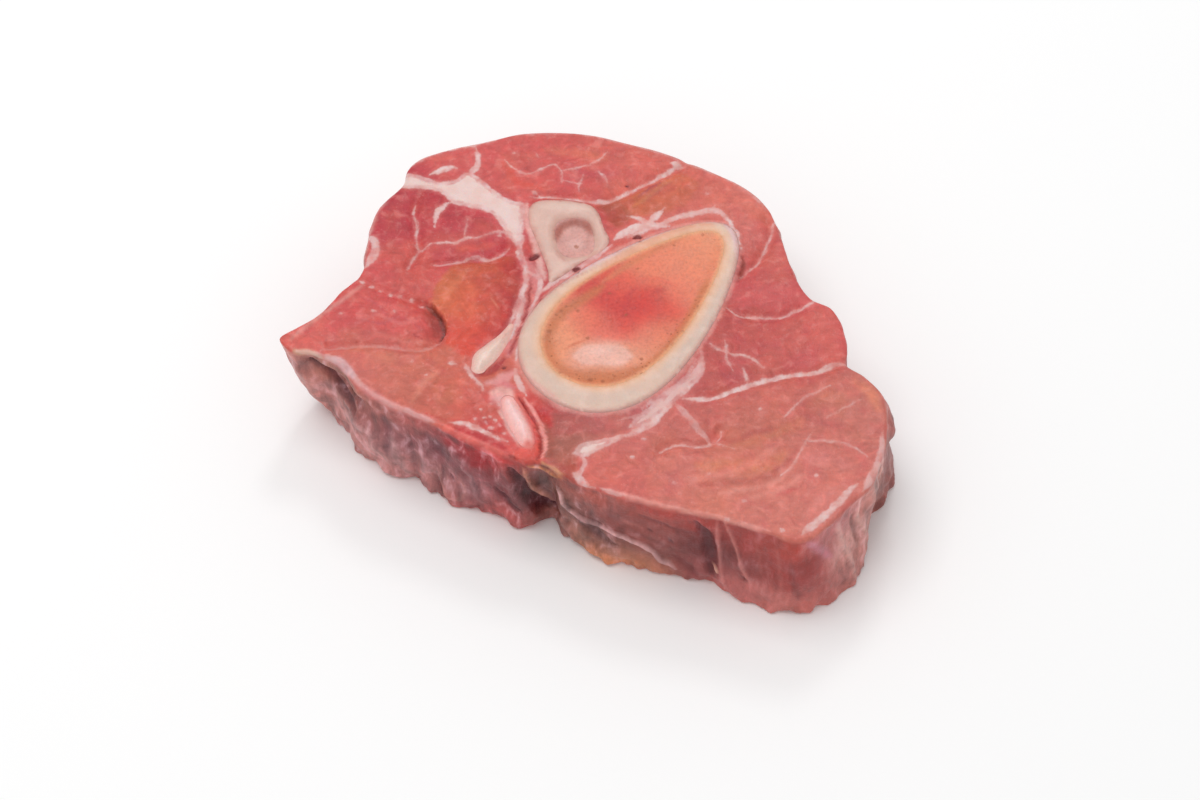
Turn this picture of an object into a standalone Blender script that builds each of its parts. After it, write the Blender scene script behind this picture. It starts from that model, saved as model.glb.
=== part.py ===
"""A raw beef shank: one slice sawn straight across the foreleg, lying on its cut face.

The slice is a slab of lean muscle. Through its whole thickness run the large forearm bone and the small
one, each a hard ring round a marrow core, a band of fat, a sheath of fat beside the large bone, a tendon
and a vessel. +Z is up, the underside lies at Z = 0 and the middle of the slice's box is at X = Y = 0.
Sizes are in millimetres and become metres where a mesh is made.
"""

import math

import bpy
import numpy as np
from mathutils import Vector, noise
from mathutils.geometry import delaunay_2d_cdt

MM = 0.001

# Driving sizes of the slice
THICKNESS = 32.0
GAP = 0.3
MIDDLE = (-1.26, 1.70)
FACET = 3.1
WALL_DEPTHS = (6.0, 11.0, 16.0, 21.0, 26.0)
EDGE_RADIUS = 1.0
FOOT_RADIUS = 1.2
ROUND_MIDDLE = 0.29
CURVE_STEPS = 16
EGG_STEPS = 240
SHARP_ANGLE = math.radians(50.0)

# The rim of the upper face, clockwise from the left tip: x, y, and how far the foot below it is moved
OUTLINE = (
    (-81.0, -1.5, 9.0, 3.0),
    (-77.0, 2.0, 6.0, 3.0),
    (-71.0, 6.5, 3.0, 1.0),
    (-66.0, 13.5, 1.0, -1.0),
    (-61.0, 19.5, 0.5, 0.0),
    (-60.0, 25.0, 0.5, 0.5),
    (-59.5, 32.0, 0.0, 0.5),
    (-57.5, 41.0, -0.5, 0.5),
    (-51.5, 49.0, 0.5, -0.5),
    (-50.0, 54.5, 0.5, 0.0),
    (-46.5, 58.5, 0.0, 0.5),
    (-38.5, 62.0, 0.5, 0.5),
    (-29.0, 64.5, 0.5, 0.0),
    (-20.0, 67.0, 0.0, 0.0),
    (-10.0, 67.5, 0.0, 0.5),
    (0.0, 66.5, 0.5, 0.5),
    (10.0, 63.5, 0.5, 0.0),
    (20.0, 60.0, 0.5, 0.5),
    (30.0, 55.0, 0.5, 0.5),
    (40.0, 48.5, 1.0, 1.0),
    (46.5, 41.0, 1.5, 0.5),
    (49.5, 31.0, 2.0, 0.5),
    (52.5, 18.5, 2.0, 0.0),
    (56.0, 11.5, 1.5, 1.0),
    (61.5, 8.0, 1.5, 1.5),
    (64.0, 2.0, 2.0, 1.0),
    (65.0, -5.0, 2.0, 0.5),
    (64.5, -9.5, 3.0, 1.0),
    (69.0, -13.5, 3.5, 2.5),
    (73.0, -19.0, 5.0, 2.0),
    (74.0, -27.5, 4.0, 0.0),
    (72.5, -37.5, -1.5, 0.5),
    (69.0, -46.5, 0.5, -0.5),
    (62.5, -53.5, 4.0, -2.5),
    (56.0, -60.0, 3.5, -2.5),
    (50.5, -63.0, 2.5, -2.0),
    (43.0, -61.0, 0.0, -2.5),
    (32.0, -57.0, 0.0, -1.2),
    (20.0, -54.0, 0.0, 0.5),
    (9.0, -51.0, 0.0, 0.0),
    (0.0, -47.5, 0.0, -0.5),
    (-7.0, -44.0, 0.0, 2.0),
    (-12.5, -40.0, 2.0, 3.0),
    (-18.0, -39.5, 0.0, 0.5),
    (-28.0, -35.0, 0.0, 0.0),
    (-37.5, -30.0, 0.0, -2.0),
    (-45.0, -26.0, 0.5, 0.5),
    (-53.5, -22.0, -0.5, 0.5),
    (-60.5, -16.5, -1.5, 0.5),
    (-66.0, -9.5, -0.5, 0.0),
    (-71.5, -6.5, 3.0, 1.5),
    (-77.5, -5.5, 7.0, 3.0),
)

# The bones and their marrow, as egg curves: middle, half length, half width, turn in degrees, taper and belly
LARGE_BONE = dict(middle=(11.6, 7.4), length=36.5, width=19.6, turn=48.4, taper=-0.37, belly=0.07)
LARGE_MARROW = dict(middle=(11.9, 9.2), length=30.9, width=14.8, turn=47.4, taper=-0.40, belly=0.06)
SMALL_BONE = (
    (-17.3, 40.5), (-15.0, 43.2), (-9.0, 43.6), (-2.0, 42.3), (0.9, 39.5), (2.4, 34.5), (3.9, 30.2),
    (2.3, 26.8), (-3.2, 22.8), (-8.6, 18.0), (-11.6, 16.2), (-12.2, 20.5), (-14.6, 28.0), (-16.9, 35.0),
)
SMALL_MARROW = dict(middle=(-5.2, 31.2), length=5.0, width=6.6, turn=9.0, square=3.2)
BONE_RISE = 0.6
SMALL_BONE_RISE = 0.5
MARROW_RISE = 0.15
SMALL_MARROW_SINK = 1.2
BONE_FACET = 2.6
BONE_CHAMFER = 0.5

# The band of fat, as points round it; it runs out through the left side of the slice
FAT_BAND = (
    (-56.0, 48.5), (-51.0, 47.8), (-46.0, 47.8), (-42.0, 46.8), (-39.5, 44.8), (-38.0, 42.6), (-34.0, 41.4),
    (-28.5, 40.0), (-25.5, 37.0), (-23.0, 32.5), (-20.0, 29.8), (-18.9, 34.0), (-18.8, 39.0), (-18.6, 43.0),
    (-21.5, 43.4), (-25.5, 46.0), (-30.0, 50.3), (-33.8, 53.6), (-36.2, 51.8), (-39.0, 50.2), (-42.5, 50.4),
    (-46.5, 52.0), (-51.0, 53.2), (-56.0, 53.5),
)

# Fat sheath, tendon and vessel as ribbons: x, y and half width along the middle line
FAT_SHEATH = (
    (25.0, -16.5, 0.9), (20.5, -20.2, 1.1), (17.0, -24.4, 1.6), (12.8, -28.8, 2.0), (8.0, -31.4, 1.5),
    (2.5, -33.8, 1.7), (-2.5, -36.2, 2.0),
)
TENDON = ((-29.4, -11.0, 2.0), (-28.2, -8.2, 2.8), (-25.8, -5.2, 2.4), (-23.2, -1.4, 1.5), (-21.4, 2.4, 0.8))
VESSEL = ((-21.8, -21.6, 1.8), (-20.3, -25.4, 2.5), (-18.2, -29.6, 2.7), (-16.9, -33.4, 2.1))
TENDON_RISE = 0.9
VESSEL_RISE = 0.5
RIBBON_BORDER = -0.3
RIBBON_CROWN = 2.5
RIBBON_FACET = 2.4
INSERT_CHAMFER = 0.3

# Seams where two muscles meet, each a furrow in the upper face
SEAMS = (
    ((-47.5, 43.5), (-48.0, 38.0), (-46.8, 32.0), (-46.0, 27.5), (-48.5, 22.0)),
    ((-42.5, 23.0), (-35.0, 24.0), (-27.5, 24.5), (-22.5, 28.5)),
    ((-15.0, 45.4), (-8.0, 45.2), (1.0, 43.6), (7.5, 46.0), (15.0, 50.5), (24.0, 56.0)),
    ((38.5, 19.0), (41.5, 22.0), (44.8, 27.0), (46.6, 33.0), (45.5, 38.0)),
    ((34.5, 8.5), (40.0, 5.6), (48.0, 5.6), (53.5, 8.0)),
    ((27.0, -20.5), (32.0, -19.2), (38.5, -16.5), (48.5, -13.0), (56.5, -12.0), (62.5, -9.8)),
    ((-60.0, 17.0), (-53.0, 13.0), (-45.5, 10.5)),
    ((-68.0, -3.6), (-60.0, -3.6), (-52.5, -4.0), (-44.5, -4.5), (-39.5, -2.5)),
    ((-18.0, -12.0), (-19.0, -4.0), (-17.6, 5.5), (-15.6, 13.0)),
    ((16.5, -36.5), (21.0, -34.0), (28.0, -34.5), (32.0, -30.0)),
    ((-13.2, -26.0), (-12.2, -31.0), (-12.0, -37.0)),
    ((-4.5, -40.0), (-3.6, -44.5)),
)
FURROW_DEPTH = 0.7
FURROW_WIDTH = 1.2
DOME_HEIGHT = 0.9
DOME_REACH = 5.0
SWELL_HEIGHT = 0.5
SWELL_LENGTH = 18.0

# The open pocket between two muscles: a bank on the right of its line and a long slope on the left
POCKET = ((-43.3, 10.4), (-41.5, 8.6), (-39.8, 6.0), (-38.6, 3.0), (-38.6, 0.5), (-39.8, -1.6))
POCKET_DEPTH = 1.9
POCKET_BANK = 0.8
POCKET_SLOPE = 4.0
POCKET_END = 3.0

# The side of the slice: upright folds, a ragged foot, and forms by place, reach, depth under the rim and stand
FOLD_DEPTH = 1.1
FOLD_LENGTH = 6.0
FOLD_HEIGHT = 26.0
FOOT_RAGGED = 1.3
FOOT_LENGTH = 4.2
FOOT_START = 19.2
QUIET_RIM = 4.0
LEAN_POWER = 1.7
WALL_FORMS = (
    dict(name="left hollow", at=(-60.0, -15.0), reach=15.0, depth=9.0, half_height=7.0, stand=-2.6),
    dict(name="flap below it", at=(-55.0, -21.0), reach=14.0, depth=21.0, half_height=8.0, stand=1.2),
    dict(name="cleft", at=(-12.5, -40.0), reach=5.0, depth=18.0, half_height=20.0, stand=-2.0),
    dict(name="round muscle end", at=(53.0, -63.0), reach=12.0, depth=18.0, half_height=12.0, stand=1.4),
    dict(name="loose right flap", at=(74.5, -25.0), reach=8.0, depth=7.0, half_height=6.0, stand=2.4),
)

# Where each noise is read, so that no two are alike
SWELL_SEED = 3.7
FOLD_SEED = 11.3
RAGGED_SEED = 5.1

# How the faces are filled: how near the border a furrow may come, how near fixed points a free one may lie,
# and how much wider the underside's triangles are, all in facet lengths; how far a cutter passes the slice
LINE_CLEARANCE = 0.6
FIELD_CLEARANCE = 0.62
UNDERSIDE_FACETS = 3.0
MERGE = 1e-6
CUTTER_REACH = 5.0

# Colour and roughness of each tissue
COLOURS = {
    "meat": ((0.56, 0.13, 0.10), 0.42),
    "fat": ((0.80, 0.62, 0.55), 0.45),
    "bone": ((0.80, 0.66, 0.50), 0.50),
    "marrow": ((0.76, 0.34, 0.20), 0.38),
    "tendon": ((0.82, 0.60, 0.50), 0.40),
    "vessel": ((0.66, 0.22, 0.20), 0.38),
}


def clear_scene():
    for obj in list(bpy.data.objects):
        bpy.data.objects.remove(obj)


def material(name):
    """The Principled material of one kind of tissue."""
    colour, roughness = COLOURS[name]
    made = bpy.data.materials.new(name)
    made.use_nodes = True
    shader = made.node_tree.nodes["Principled BSDF"]
    shader.inputs["Base Color"].default_value = (*colour, 1.0)
    shader.inputs["Roughness"].default_value = roughness
    shader.inputs["Metallic"].default_value = 0.0
    return made


def ease(value):
    """0 below 0, 1 above 1, and smooth between."""
    value = np.clip(value, 0.0, 1.0)
    return value * value * (3.0 - 2.0 * value)


def smooth_curve(points, spacing, closed):
    """Evenly spaced points on a smooth curve through the given ones; further columns are carried along."""
    points = np.array(points, float)
    count = len(points)
    spans = count if closed else count - 1
    dense = []
    for i in range(spans):
        if closed:
            a, b, c, d = (points[(i + k) % count] for k in (-1, 0, 1, 2))
        else:
            a, b, c, d = (points[min(max(i + k, 0), count - 1)] for k in (-1, 0, 1, 2))
        for t in np.arange(CURVE_STEPS) / CURVE_STEPS:
            bend = (2 * a - 5 * b + 4 * c - d) * t * t + (3 * b - a - 3 * c + d) * t**3
            dense.append(0.5 * (2 * b + (c - a) * t + bend))
    dense.append(points[0] if closed else points[-1])
    dense = np.array(dense)
    run = np.concatenate([[0.0], np.cumsum(np.hypot(*np.diff(dense[:, :2], axis=0).T))])
    pieces = max(3, round(run[-1] / spacing))
    at = np.linspace(0.0, run[-1], pieces + 1)
    if closed:
        at = at[:-1]
    return np.stack([np.interp(at, run, column) for column in dense.T], axis=1)


def egg(shape, spacing, grow=0.0):
    """An egg curve, or a rounded square where the shape is square, as an even anticlockwise loop."""
    t = np.linspace(0.0, 2 * math.pi, EGG_STEPS, endpoint=False)
    along, across = np.cos(t), np.sin(t)
    if "square" in shape:
        size = (np.abs(along) ** shape["square"] + np.abs(across) ** shape["square"]) ** (1 / shape["square"])
        along, across = along / size, across / size
    else:
        across = across * (1 + shape["taper"] * along + shape["belly"] * along**2)
    x = shape["length"] * along
    y = shape["width"] * across
    turn = math.radians(shape["turn"])
    loop = np.stack([
        shape["middle"][0] + math.cos(turn) * x - math.sin(turn) * y,
        shape["middle"][1] + math.sin(turn) * x + math.cos(turn) * y,
    ], axis=1)
    return grown(even_loop(loop, spacing), grow)


def even_loop(loop, spacing):
    closed = np.vstack([loop, loop[:1]])
    run = np.concatenate([[0.0], np.cumsum(np.hypot(*np.diff(closed, axis=0).T))])
    at = np.linspace(0.0, run[-1], max(8, round(run[-1] / spacing)), endpoint=False)
    return np.stack([np.interp(at, run, closed[:, 0]), np.interp(at, run, closed[:, 1])], axis=1)


def outward(loop):
    """Unit normals that point out of an anticlockwise loop."""
    along = np.roll(loop[:, :2], -1, axis=0) - np.roll(loop[:, :2], 1, axis=0)
    along /= np.hypot(along[:, 0], along[:, 1])[:, None]
    return np.stack([along[:, 1], -along[:, 0]], axis=1)


def grown(loop, by):
    return loop + outward(loop) * by


def anticlockwise(loop):
    x, y = loop[:, 0], loop[:, 1]
    area = np.sum(x * np.roll(y, -1) - y * np.roll(x, -1))
    return loop if area > 0 else loop[::-1]


def smooth_loop(points, spacing):
    """An even anticlockwise loop on a smooth curve through the given points."""
    return even_loop(anticlockwise(smooth_curve(points, spacing, closed=True)), spacing)


def ribbon(line, spacing, grow=0.0):
    """The loop round a line that has a half width at each point, with round ends."""
    line = smooth_curve(line, spacing, closed=False)
    along = np.gradient(line[:, :2], axis=0)
    along /= np.hypot(along[:, 0], along[:, 1])[:, None]
    side = np.stack([-along[:, 1], along[:, 0]], axis=1)
    width = line[:, 2:3] + grow
    ends = []
    for end, way in ((-1, 1.0), (0, -1.0)):
        turns = np.linspace(0, math.pi, 5)[1:-1]
        arc = np.outer(np.cos(turns), side[end]) + np.outer(np.sin(turns), along[end])
        ends.append(line[end, :2] + width[end] * way * arc)
    left = line[:, :2] + side * width
    right = line[:, :2] - side * width
    return anticlockwise(np.vstack([left, ends[0], right[::-1], ends[1]]))


def distance(points, line):
    """How far each point lies from a line of straight pieces."""
    line = np.array(line, float)
    best = np.full(len(points), np.inf)
    for a, b in zip(line[:-1], line[1:]):
        span = b - a
        t = np.clip((points - a) @ span / (span @ span), 0.0, 1.0)
        near = a + t[:, None] * span
        best = np.minimum(best, np.hypot(points[:, 0] - near[:, 0], points[:, 1] - near[:, 1]))
    return best


def inside(points, loop):
    """Which points lie inside a loop."""
    found = np.zeros(len(points), bool)
    x, y = points[:, 0], points[:, 1]
    for (ax, ay), (bx, by) in zip(loop[:, :2], np.roll(loop[:, :2], -1, axis=0)):
        if ay == by:
            continue
        crosses = (ay > y) != (by > y)
        found ^= crosses & (x < ax + (y - ay) * (bx - ax) / (by - ay))
    return found


def noise_at(points, lengths, seed):
    """Smooth noise from about -1 to 1, with its own length along each axis."""
    scaled = points / np.array(lengths)
    return np.array([noise.noise(Vector(p) + Vector((seed, 0.0, 0.0))) for p in scaled])


def pocket_depth(points):
    """How deep the pocket is at each point."""
    xs, ys = np.array(POCKET[::-1]).T
    left = np.interp(points[:, 1], ys, xs) - points[:, 0]
    share = np.where(left > 0, np.exp(-((left / POCKET_SLOPE) ** 2)), ease(1.0 + left / POCKET_BANK))
    ends = ease((points[:, 1] - ys[0] + POCKET_END / 2) / POCKET_END)
    ends *= ease((ys[-1] + POCKET_END / 2 - points[:, 1]) / POCKET_END)
    return POCKET_DEPTH * share * ends


def upper_face(points):
    """Height of the upper face: domed muscles, furrows between them, and the pocket."""
    near = np.full(len(points), np.inf)
    for seam in SEAMS:
        near = np.minimum(near, distance(points, smooth_curve(seam, FACET, closed=False)))
    dome = DOME_HEIGHT * (1.0 - np.exp(-near / DOME_REACH)) - DOME_HEIGHT
    furrow = FURROW_DEPTH * np.exp(-((near / FURROW_WIDTH) ** 2))
    flat = np.column_stack([points, np.zeros(len(points))])
    swell = SWELL_HEIGHT * noise_at(flat, (SWELL_LENGTH,) * 3, SWELL_SEED)
    return THICKNESS + dome - furrow - pocket_depth(points) + swell


def wall_relief(points, depth):
    """How far the side stands out: upright folds, the ragged foot and the named forms."""
    folds = FOLD_DEPTH * noise_at(points, (FOLD_LENGTH, FOLD_LENGTH, FOLD_HEIGHT), FOLD_SEED)
    ragged = FOOT_RAGGED * noise_at(points, (FOOT_LENGTH,) * 3, RAGGED_SEED)
    foot = ease((depth - FOOT_START) / (THICKNESS - FOOT_START))
    stand = (folds + ragged * foot) * ease(depth / QUIET_RIM)
    for form in WALL_FORMS:
        away = np.hypot(points[:, 0] - form["at"][0], points[:, 1] - form["at"][1])
        share = ease(1.0 - abs(depth - form["depth"]) / form["half_height"])
        stand += form["stand"] * ease(1.0 - away / form["reach"]) * share
    return stand


def slice_walls():
    """The side of the slice as columns of points, each from the upper face down to the underside."""
    rim = anticlockwise(smooth_curve(OUTLINE, FACET, closed=True))
    out = outward(rim)
    edge_middle = ROUND_MIDDLE * EDGE_RADIUS
    foot_middle = ROUND_MIDDLE * FOOT_RADIUS
    edge = ((EDGE_RADIUS, 0.0), (edge_middle, edge_middle), (0.0, EDGE_RADIUS))
    foot = ((0.0, THICKNESS - FOOT_RADIUS), (foot_middle, THICKNESS - foot_middle), (FOOT_RADIUS, THICKNESS))
    rows = edge + tuple((0.0, depth) for depth in WALL_DEPTHS) + foot
    walls = []
    for inset, depth in rows:
        place = rim[:, :2] + rim[:, 2:] * (depth / THICKNESS) ** LEAN_POWER
        level = np.full((len(rim), 1), THICKNESS - depth)
        stand = wall_relief(np.hstack([place, level]), depth)
        place = place + out * (stand - inset)[:, None]
        walls.append(np.hstack([place, level]))
    walls = np.stack(walls, axis=1)
    rise = upper_face(walls[:, 0, :2]) - THICKNESS
    for row, share in enumerate((1.0, 1.0, 0.8)):
        walls[:, row, 2] += share * rise
    return walls


def upright_walls(loop, height, edge):
    """Straight sides down to the underside, with a small chamfer of the given size at the top."""
    top = height(loop)
    columns = [
        np.column_stack([grown(loop, -edge), height(grown(loop, -edge))]),
        np.column_stack([loop, top - edge]),
        np.column_stack([loop, np.zeros(len(loop))]),
    ]
    return np.stack(columns, axis=1)


def face_points(loops, lines, spacing):
    """Points for a face: its loops and furrow lines first, then an even field that keeps clear of them."""
    fixed = list(loops)
    edges = []
    count = 0
    for loop in loops:
        edges += [(count + i, count + (i + 1) % len(loop)) for i in range(len(loop))]
        count += len(loop)
    for line in lines:
        line = smooth_curve(line, spacing, closed=False)
        border = np.vstack([loops[0], loops[0][:1]])
        line = line[inside(line, loops[0]) & (distance(line, border) > LINE_CLEARANCE * spacing)]
        if len(line) < 2:
            continue
        edges += [(count + i, count + i + 1) for i in range(len(line) - 1)]
        fixed.append(line)
        count += len(line)
    fixed = np.vstack(fixed)
    low, high = loops[0].min(axis=0), loops[0].max(axis=0)
    xs = np.arange(low[0], high[0], spacing)
    ys = np.arange(low[1], high[1], spacing * math.sqrt(0.75))
    field = np.array([(x + spacing / 2 * (row % 2), y) for row, y in enumerate(ys) for x in xs])
    keep = inside(field, loops[0])
    for loop in loops[1:]:
        keep &= ~inside(field, loop)
    field = field[keep]
    clear = np.ones(len(field), bool)
    for point in fixed:
        clear &= np.hypot(field[:, 0] - point[0], field[:, 1] - point[1]) > FIELD_CLEARANCE * spacing
    return np.vstack([fixed, field[clear]]), edges


def fill(loops, lines, spacing):
    """Points and triangles of a flat face inside the first loop and outside the others."""
    points, edges = face_points(loops, lines, spacing)
    found = delaunay_2d_cdt([Vector(p) for p in points], edges, [], 0, MERGE)
    flat = np.array([tuple(p) for p in found[0]])
    triangles = np.array(found[2])
    origin = {source: new for new, sources in enumerate(found[3]) for source in sources}
    middles = flat[triangles].mean(axis=1)
    keep = inside(middles, loops[0])
    for loop in loops[1:]:
        keep &= ~inside(middles, loop)
    rim = [origin[i] for i in range(sum(len(loop) for loop in loops))]
    return flat, triangles[keep], rim


def solid(name, walls, hole_walls, lines, spacing, height, skin):
    """One closed solid from its side columns: the upper face by height, the sides, and a flat underside."""
    points, faces = [], []
    rings = [walls] + hole_walls
    counts = [len(columns) for columns in rings]
    starts = []
    for ring, columns in enumerate(rings):
        start = len(points)
        starts.append(start)
        points += [tuple(p) for p in columns.reshape(-1, 3)]
        rows = columns.shape[1]
        for i in range(counts[ring]):
            here = start + i * rows
            there = start + (i + 1) % counts[ring] * rows
            for row in range(rows - 1):
                corners = (here + row, here + row + 1, there + row + 1, there + row)
                faces.append(corners if ring == 0 else corners[::-1])
    for row, up in ((0, True), (-1, False)):
        loops = [columns[:, row, :2] for columns in rings]
        face_lines, face_spacing = (lines, spacing) if up else ((), UNDERSIDE_FACETS * spacing)
        flat, triangles, rim = fill(loops, face_lines, face_spacing)
        tall = height(flat) if up else np.zeros(len(flat))
        index = np.arange(len(flat)) + len(points)
        points += [tuple(p) for p in np.column_stack([flat, tall])]
        at = 0
        for ring, columns in enumerate(rings):
            rows = columns.shape[1]
            for i in range(counts[ring]):
                index[rim[at]] = starts[ring] + i * rows + (0 if up else rows - 1)
                at += 1
        for a, b, c in index[triangles]:
            faces.append((a, b, c) if up else (c, b, a))
    return add_object(name, points, faces, skin)


def add_object(name, points, faces, skin):
    """A mesh object from points in millimetres, without the points that no face uses."""
    used = sorted({corner for face in faces for corner in face})
    order = {old: new for new, old in enumerate(used)}
    place = [Vector((points[i][0] - MIDDLE[0], points[i][1] - MIDDLE[1], points[i][2])) * MM for i in used]
    mesh = bpy.data.meshes.new(name)
    mesh.from_pydata(place, [], [[order[corner] for corner in face] for face in faces])
    mesh.shade_smooth()
    mesh.set_sharp_from_angle(angle=SHARP_ANGLE)
    mesh.materials.append(skin)
    made = bpy.data.objects.new(name, mesh)
    bpy.context.scene.collection.objects.link(made)
    return made


def cutter(name, loop):
    """An upright block over a loop, taller than the slice, that only serves to cut it."""
    count = len(loop)
    points = [(x, y, z) for z in (-CUTTER_REACH, THICKNESS + CUTTER_REACH) for x, y in loop]
    faces = [tuple(range(count))[::-1], tuple(range(count, 2 * count))]
    faces += [(i, (i + 1) % count, count + (i + 1) % count, count + i) for i in range(count)]
    made = add_object(name, points, faces, None)
    made.hide_render = True
    made.display_type = "WIRE"
    return made


def boolean(target, operation, other):
    made = target.modifiers.new(other.name, "BOOLEAN")
    made.operation = operation
    made.object = other
    made.solver = "EXACT"


def raised(rise):
    """A level face that stands the given distance above the slice's nominal thickness."""
    return lambda points: np.full(len(points), THICKNESS + rise)


def crowned(rise, loop):
    """A face that rises from just below the slice's thickness at its border to the given height inside."""
    border = np.vstack([loop, loop[:1]])

    def height(points):
        share = ease(distance(points, border) / RIBBON_CROWN)
        return THICKNESS + RIBBON_BORDER + (rise - RIBBON_BORDER) * share

    return height


def make_meat(skin):
    bank = tuple((x + POCKET_BANK, y) for x, y in POCKET)
    return solid("meat", slice_walls(), [], SEAMS + (POCKET, bank), FACET, upper_face, skin)


def make_bone(name, outer, inner, rise, skin):
    """A hard ring of bone round the hollow that its marrow fills."""
    height = raised(rise)
    walls = upright_walls(outer, height, BONE_CHAMFER)
    hole = np.stack([
        np.column_stack([inner, height(inner)]),
        np.column_stack([inner, np.zeros(len(inner))]),
    ], axis=1)
    return solid(name, walls, [hole], (), BONE_FACET, height, skin)


def make_insert(name, loop, height, skin):
    """A piece that runs through the slice inside the given loop."""
    return solid(name, upright_walls(loop, height, INSERT_CHAMFER), [], (), RIBBON_FACET, height, skin)


def build():
    clear_scene()
    skins = {name: material(name) for name in COLOURS}
    meat = make_meat(skins["meat"])
    band = make_meat(skins["fat"])
    band.name = "fat_band"
    band.data.name = "fat_band"

    bone_loops = {
        "bone_large": egg(LARGE_BONE, BONE_FACET),
        "bone_small": smooth_loop(SMALL_BONE, BONE_FACET),
    }
    large_hole = egg(LARGE_MARROW, BONE_FACET, GAP)
    small_hole = egg(SMALL_MARROW, RIBBON_FACET, GAP)
    make_bone("bone_large", bone_loops["bone_large"], large_hole, BONE_RISE, skins["bone"])
    make_bone("bone_small", bone_loops["bone_small"], small_hole, SMALL_BONE_RISE, skins["bone"])
    make_insert("marrow_large", egg(LARGE_MARROW, BONE_FACET), raised(MARROW_RISE), skins["marrow"])
    make_insert("marrow_small", egg(SMALL_MARROW, RIBBON_FACET), raised(-SMALL_MARROW_SINK), skins["marrow"])

    ribbons = {
        "fat_sheath": (FAT_SHEATH, 0.0, "fat"),
        "tendon": (TENDON, TENDON_RISE, "tendon"),
        "vessel": (VESSEL, VESSEL_RISE, "vessel"),
    }
    for name, (line, rise, skin) in ribbons.items():
        loop = ribbon(line, RIBBON_FACET)
        make_insert(name, loop, crowned(rise, loop), skins[skin])
        boolean(meat, "DIFFERENCE", cutter(name + "_room", ribbon(line, RIBBON_FACET, GAP)))
    for name, loop in bone_loops.items():
        boolean(meat, "DIFFERENCE", cutter(name + "_room", grown(loop, GAP)))
    band_loop = smooth_loop(FAT_BAND, RIBBON_FACET)
    boolean(meat, "DIFFERENCE", cutter("fat_band_room", grown(band_loop, GAP / 2)))
    boolean(band, "INTERSECT", cutter("fat_band_shape", grown(band_loop, -GAP / 2)))


build()
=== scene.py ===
"""The looks of a raw beef shank: fine meshes and materials over its solids, a pale floor, soft light and a camera.

Places are in millimetres in the photograph's own frame: +X right, +Y away from the viewer, Z up from the underside.
Where a mesh is made they are moved by MIDDLE and become metres. Places on the side of the slice are given by the run
along the rim, anticlockwise from the left tip, and the depth below the upper face. Colours run from 0 to 255. In the
written tables commas join the numbers of one place, colour or spot, and spaces part them.
"""
import math

import bpy
import numpy as np
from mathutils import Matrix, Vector, kdtree, noise
from mathutils.geometry import delaunay_2d_cdt


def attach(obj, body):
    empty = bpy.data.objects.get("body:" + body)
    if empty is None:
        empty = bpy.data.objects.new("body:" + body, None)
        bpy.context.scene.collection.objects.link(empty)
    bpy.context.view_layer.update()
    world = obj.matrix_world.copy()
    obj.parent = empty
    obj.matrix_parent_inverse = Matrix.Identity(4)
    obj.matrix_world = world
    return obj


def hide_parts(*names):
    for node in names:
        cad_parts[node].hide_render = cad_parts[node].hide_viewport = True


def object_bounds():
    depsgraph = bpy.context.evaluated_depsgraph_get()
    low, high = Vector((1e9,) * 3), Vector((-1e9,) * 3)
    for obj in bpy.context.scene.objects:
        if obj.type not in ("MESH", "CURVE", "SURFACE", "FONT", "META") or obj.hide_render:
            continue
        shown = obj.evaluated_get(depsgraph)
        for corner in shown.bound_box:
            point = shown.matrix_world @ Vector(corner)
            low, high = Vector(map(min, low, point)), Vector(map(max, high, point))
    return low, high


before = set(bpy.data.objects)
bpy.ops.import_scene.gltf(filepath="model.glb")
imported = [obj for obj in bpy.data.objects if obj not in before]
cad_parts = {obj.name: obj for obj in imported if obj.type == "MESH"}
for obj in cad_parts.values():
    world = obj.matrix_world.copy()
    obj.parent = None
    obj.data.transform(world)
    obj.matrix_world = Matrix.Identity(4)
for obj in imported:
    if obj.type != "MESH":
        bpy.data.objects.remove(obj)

CAD_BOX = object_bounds()
MM = 0.001


def numbers(text):
    """The places, colours or spots of a text, each a tuple of numbers."""
    return tuple(tuple(float(number) for number in group.split(",")) for group in text.split())


def table(text):
    """The rows of a text, one a line; a line that starts with a space goes on from the one before."""
    return [numbers(row) for row in text.replace("\n ", " ").strip().split("\n")]


def strokes(text):
    """Soft strokes, a row each: colour; share, half width, soft edge and how far it stands out; points."""
    found = []
    for tint, (share, half_width, soft, *stand), *points in table(text):
        found.append(dict(tint=tint, share=share, half_width=half_width, soft=soft, stand=sum(stand), points=points))
    return found


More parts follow.
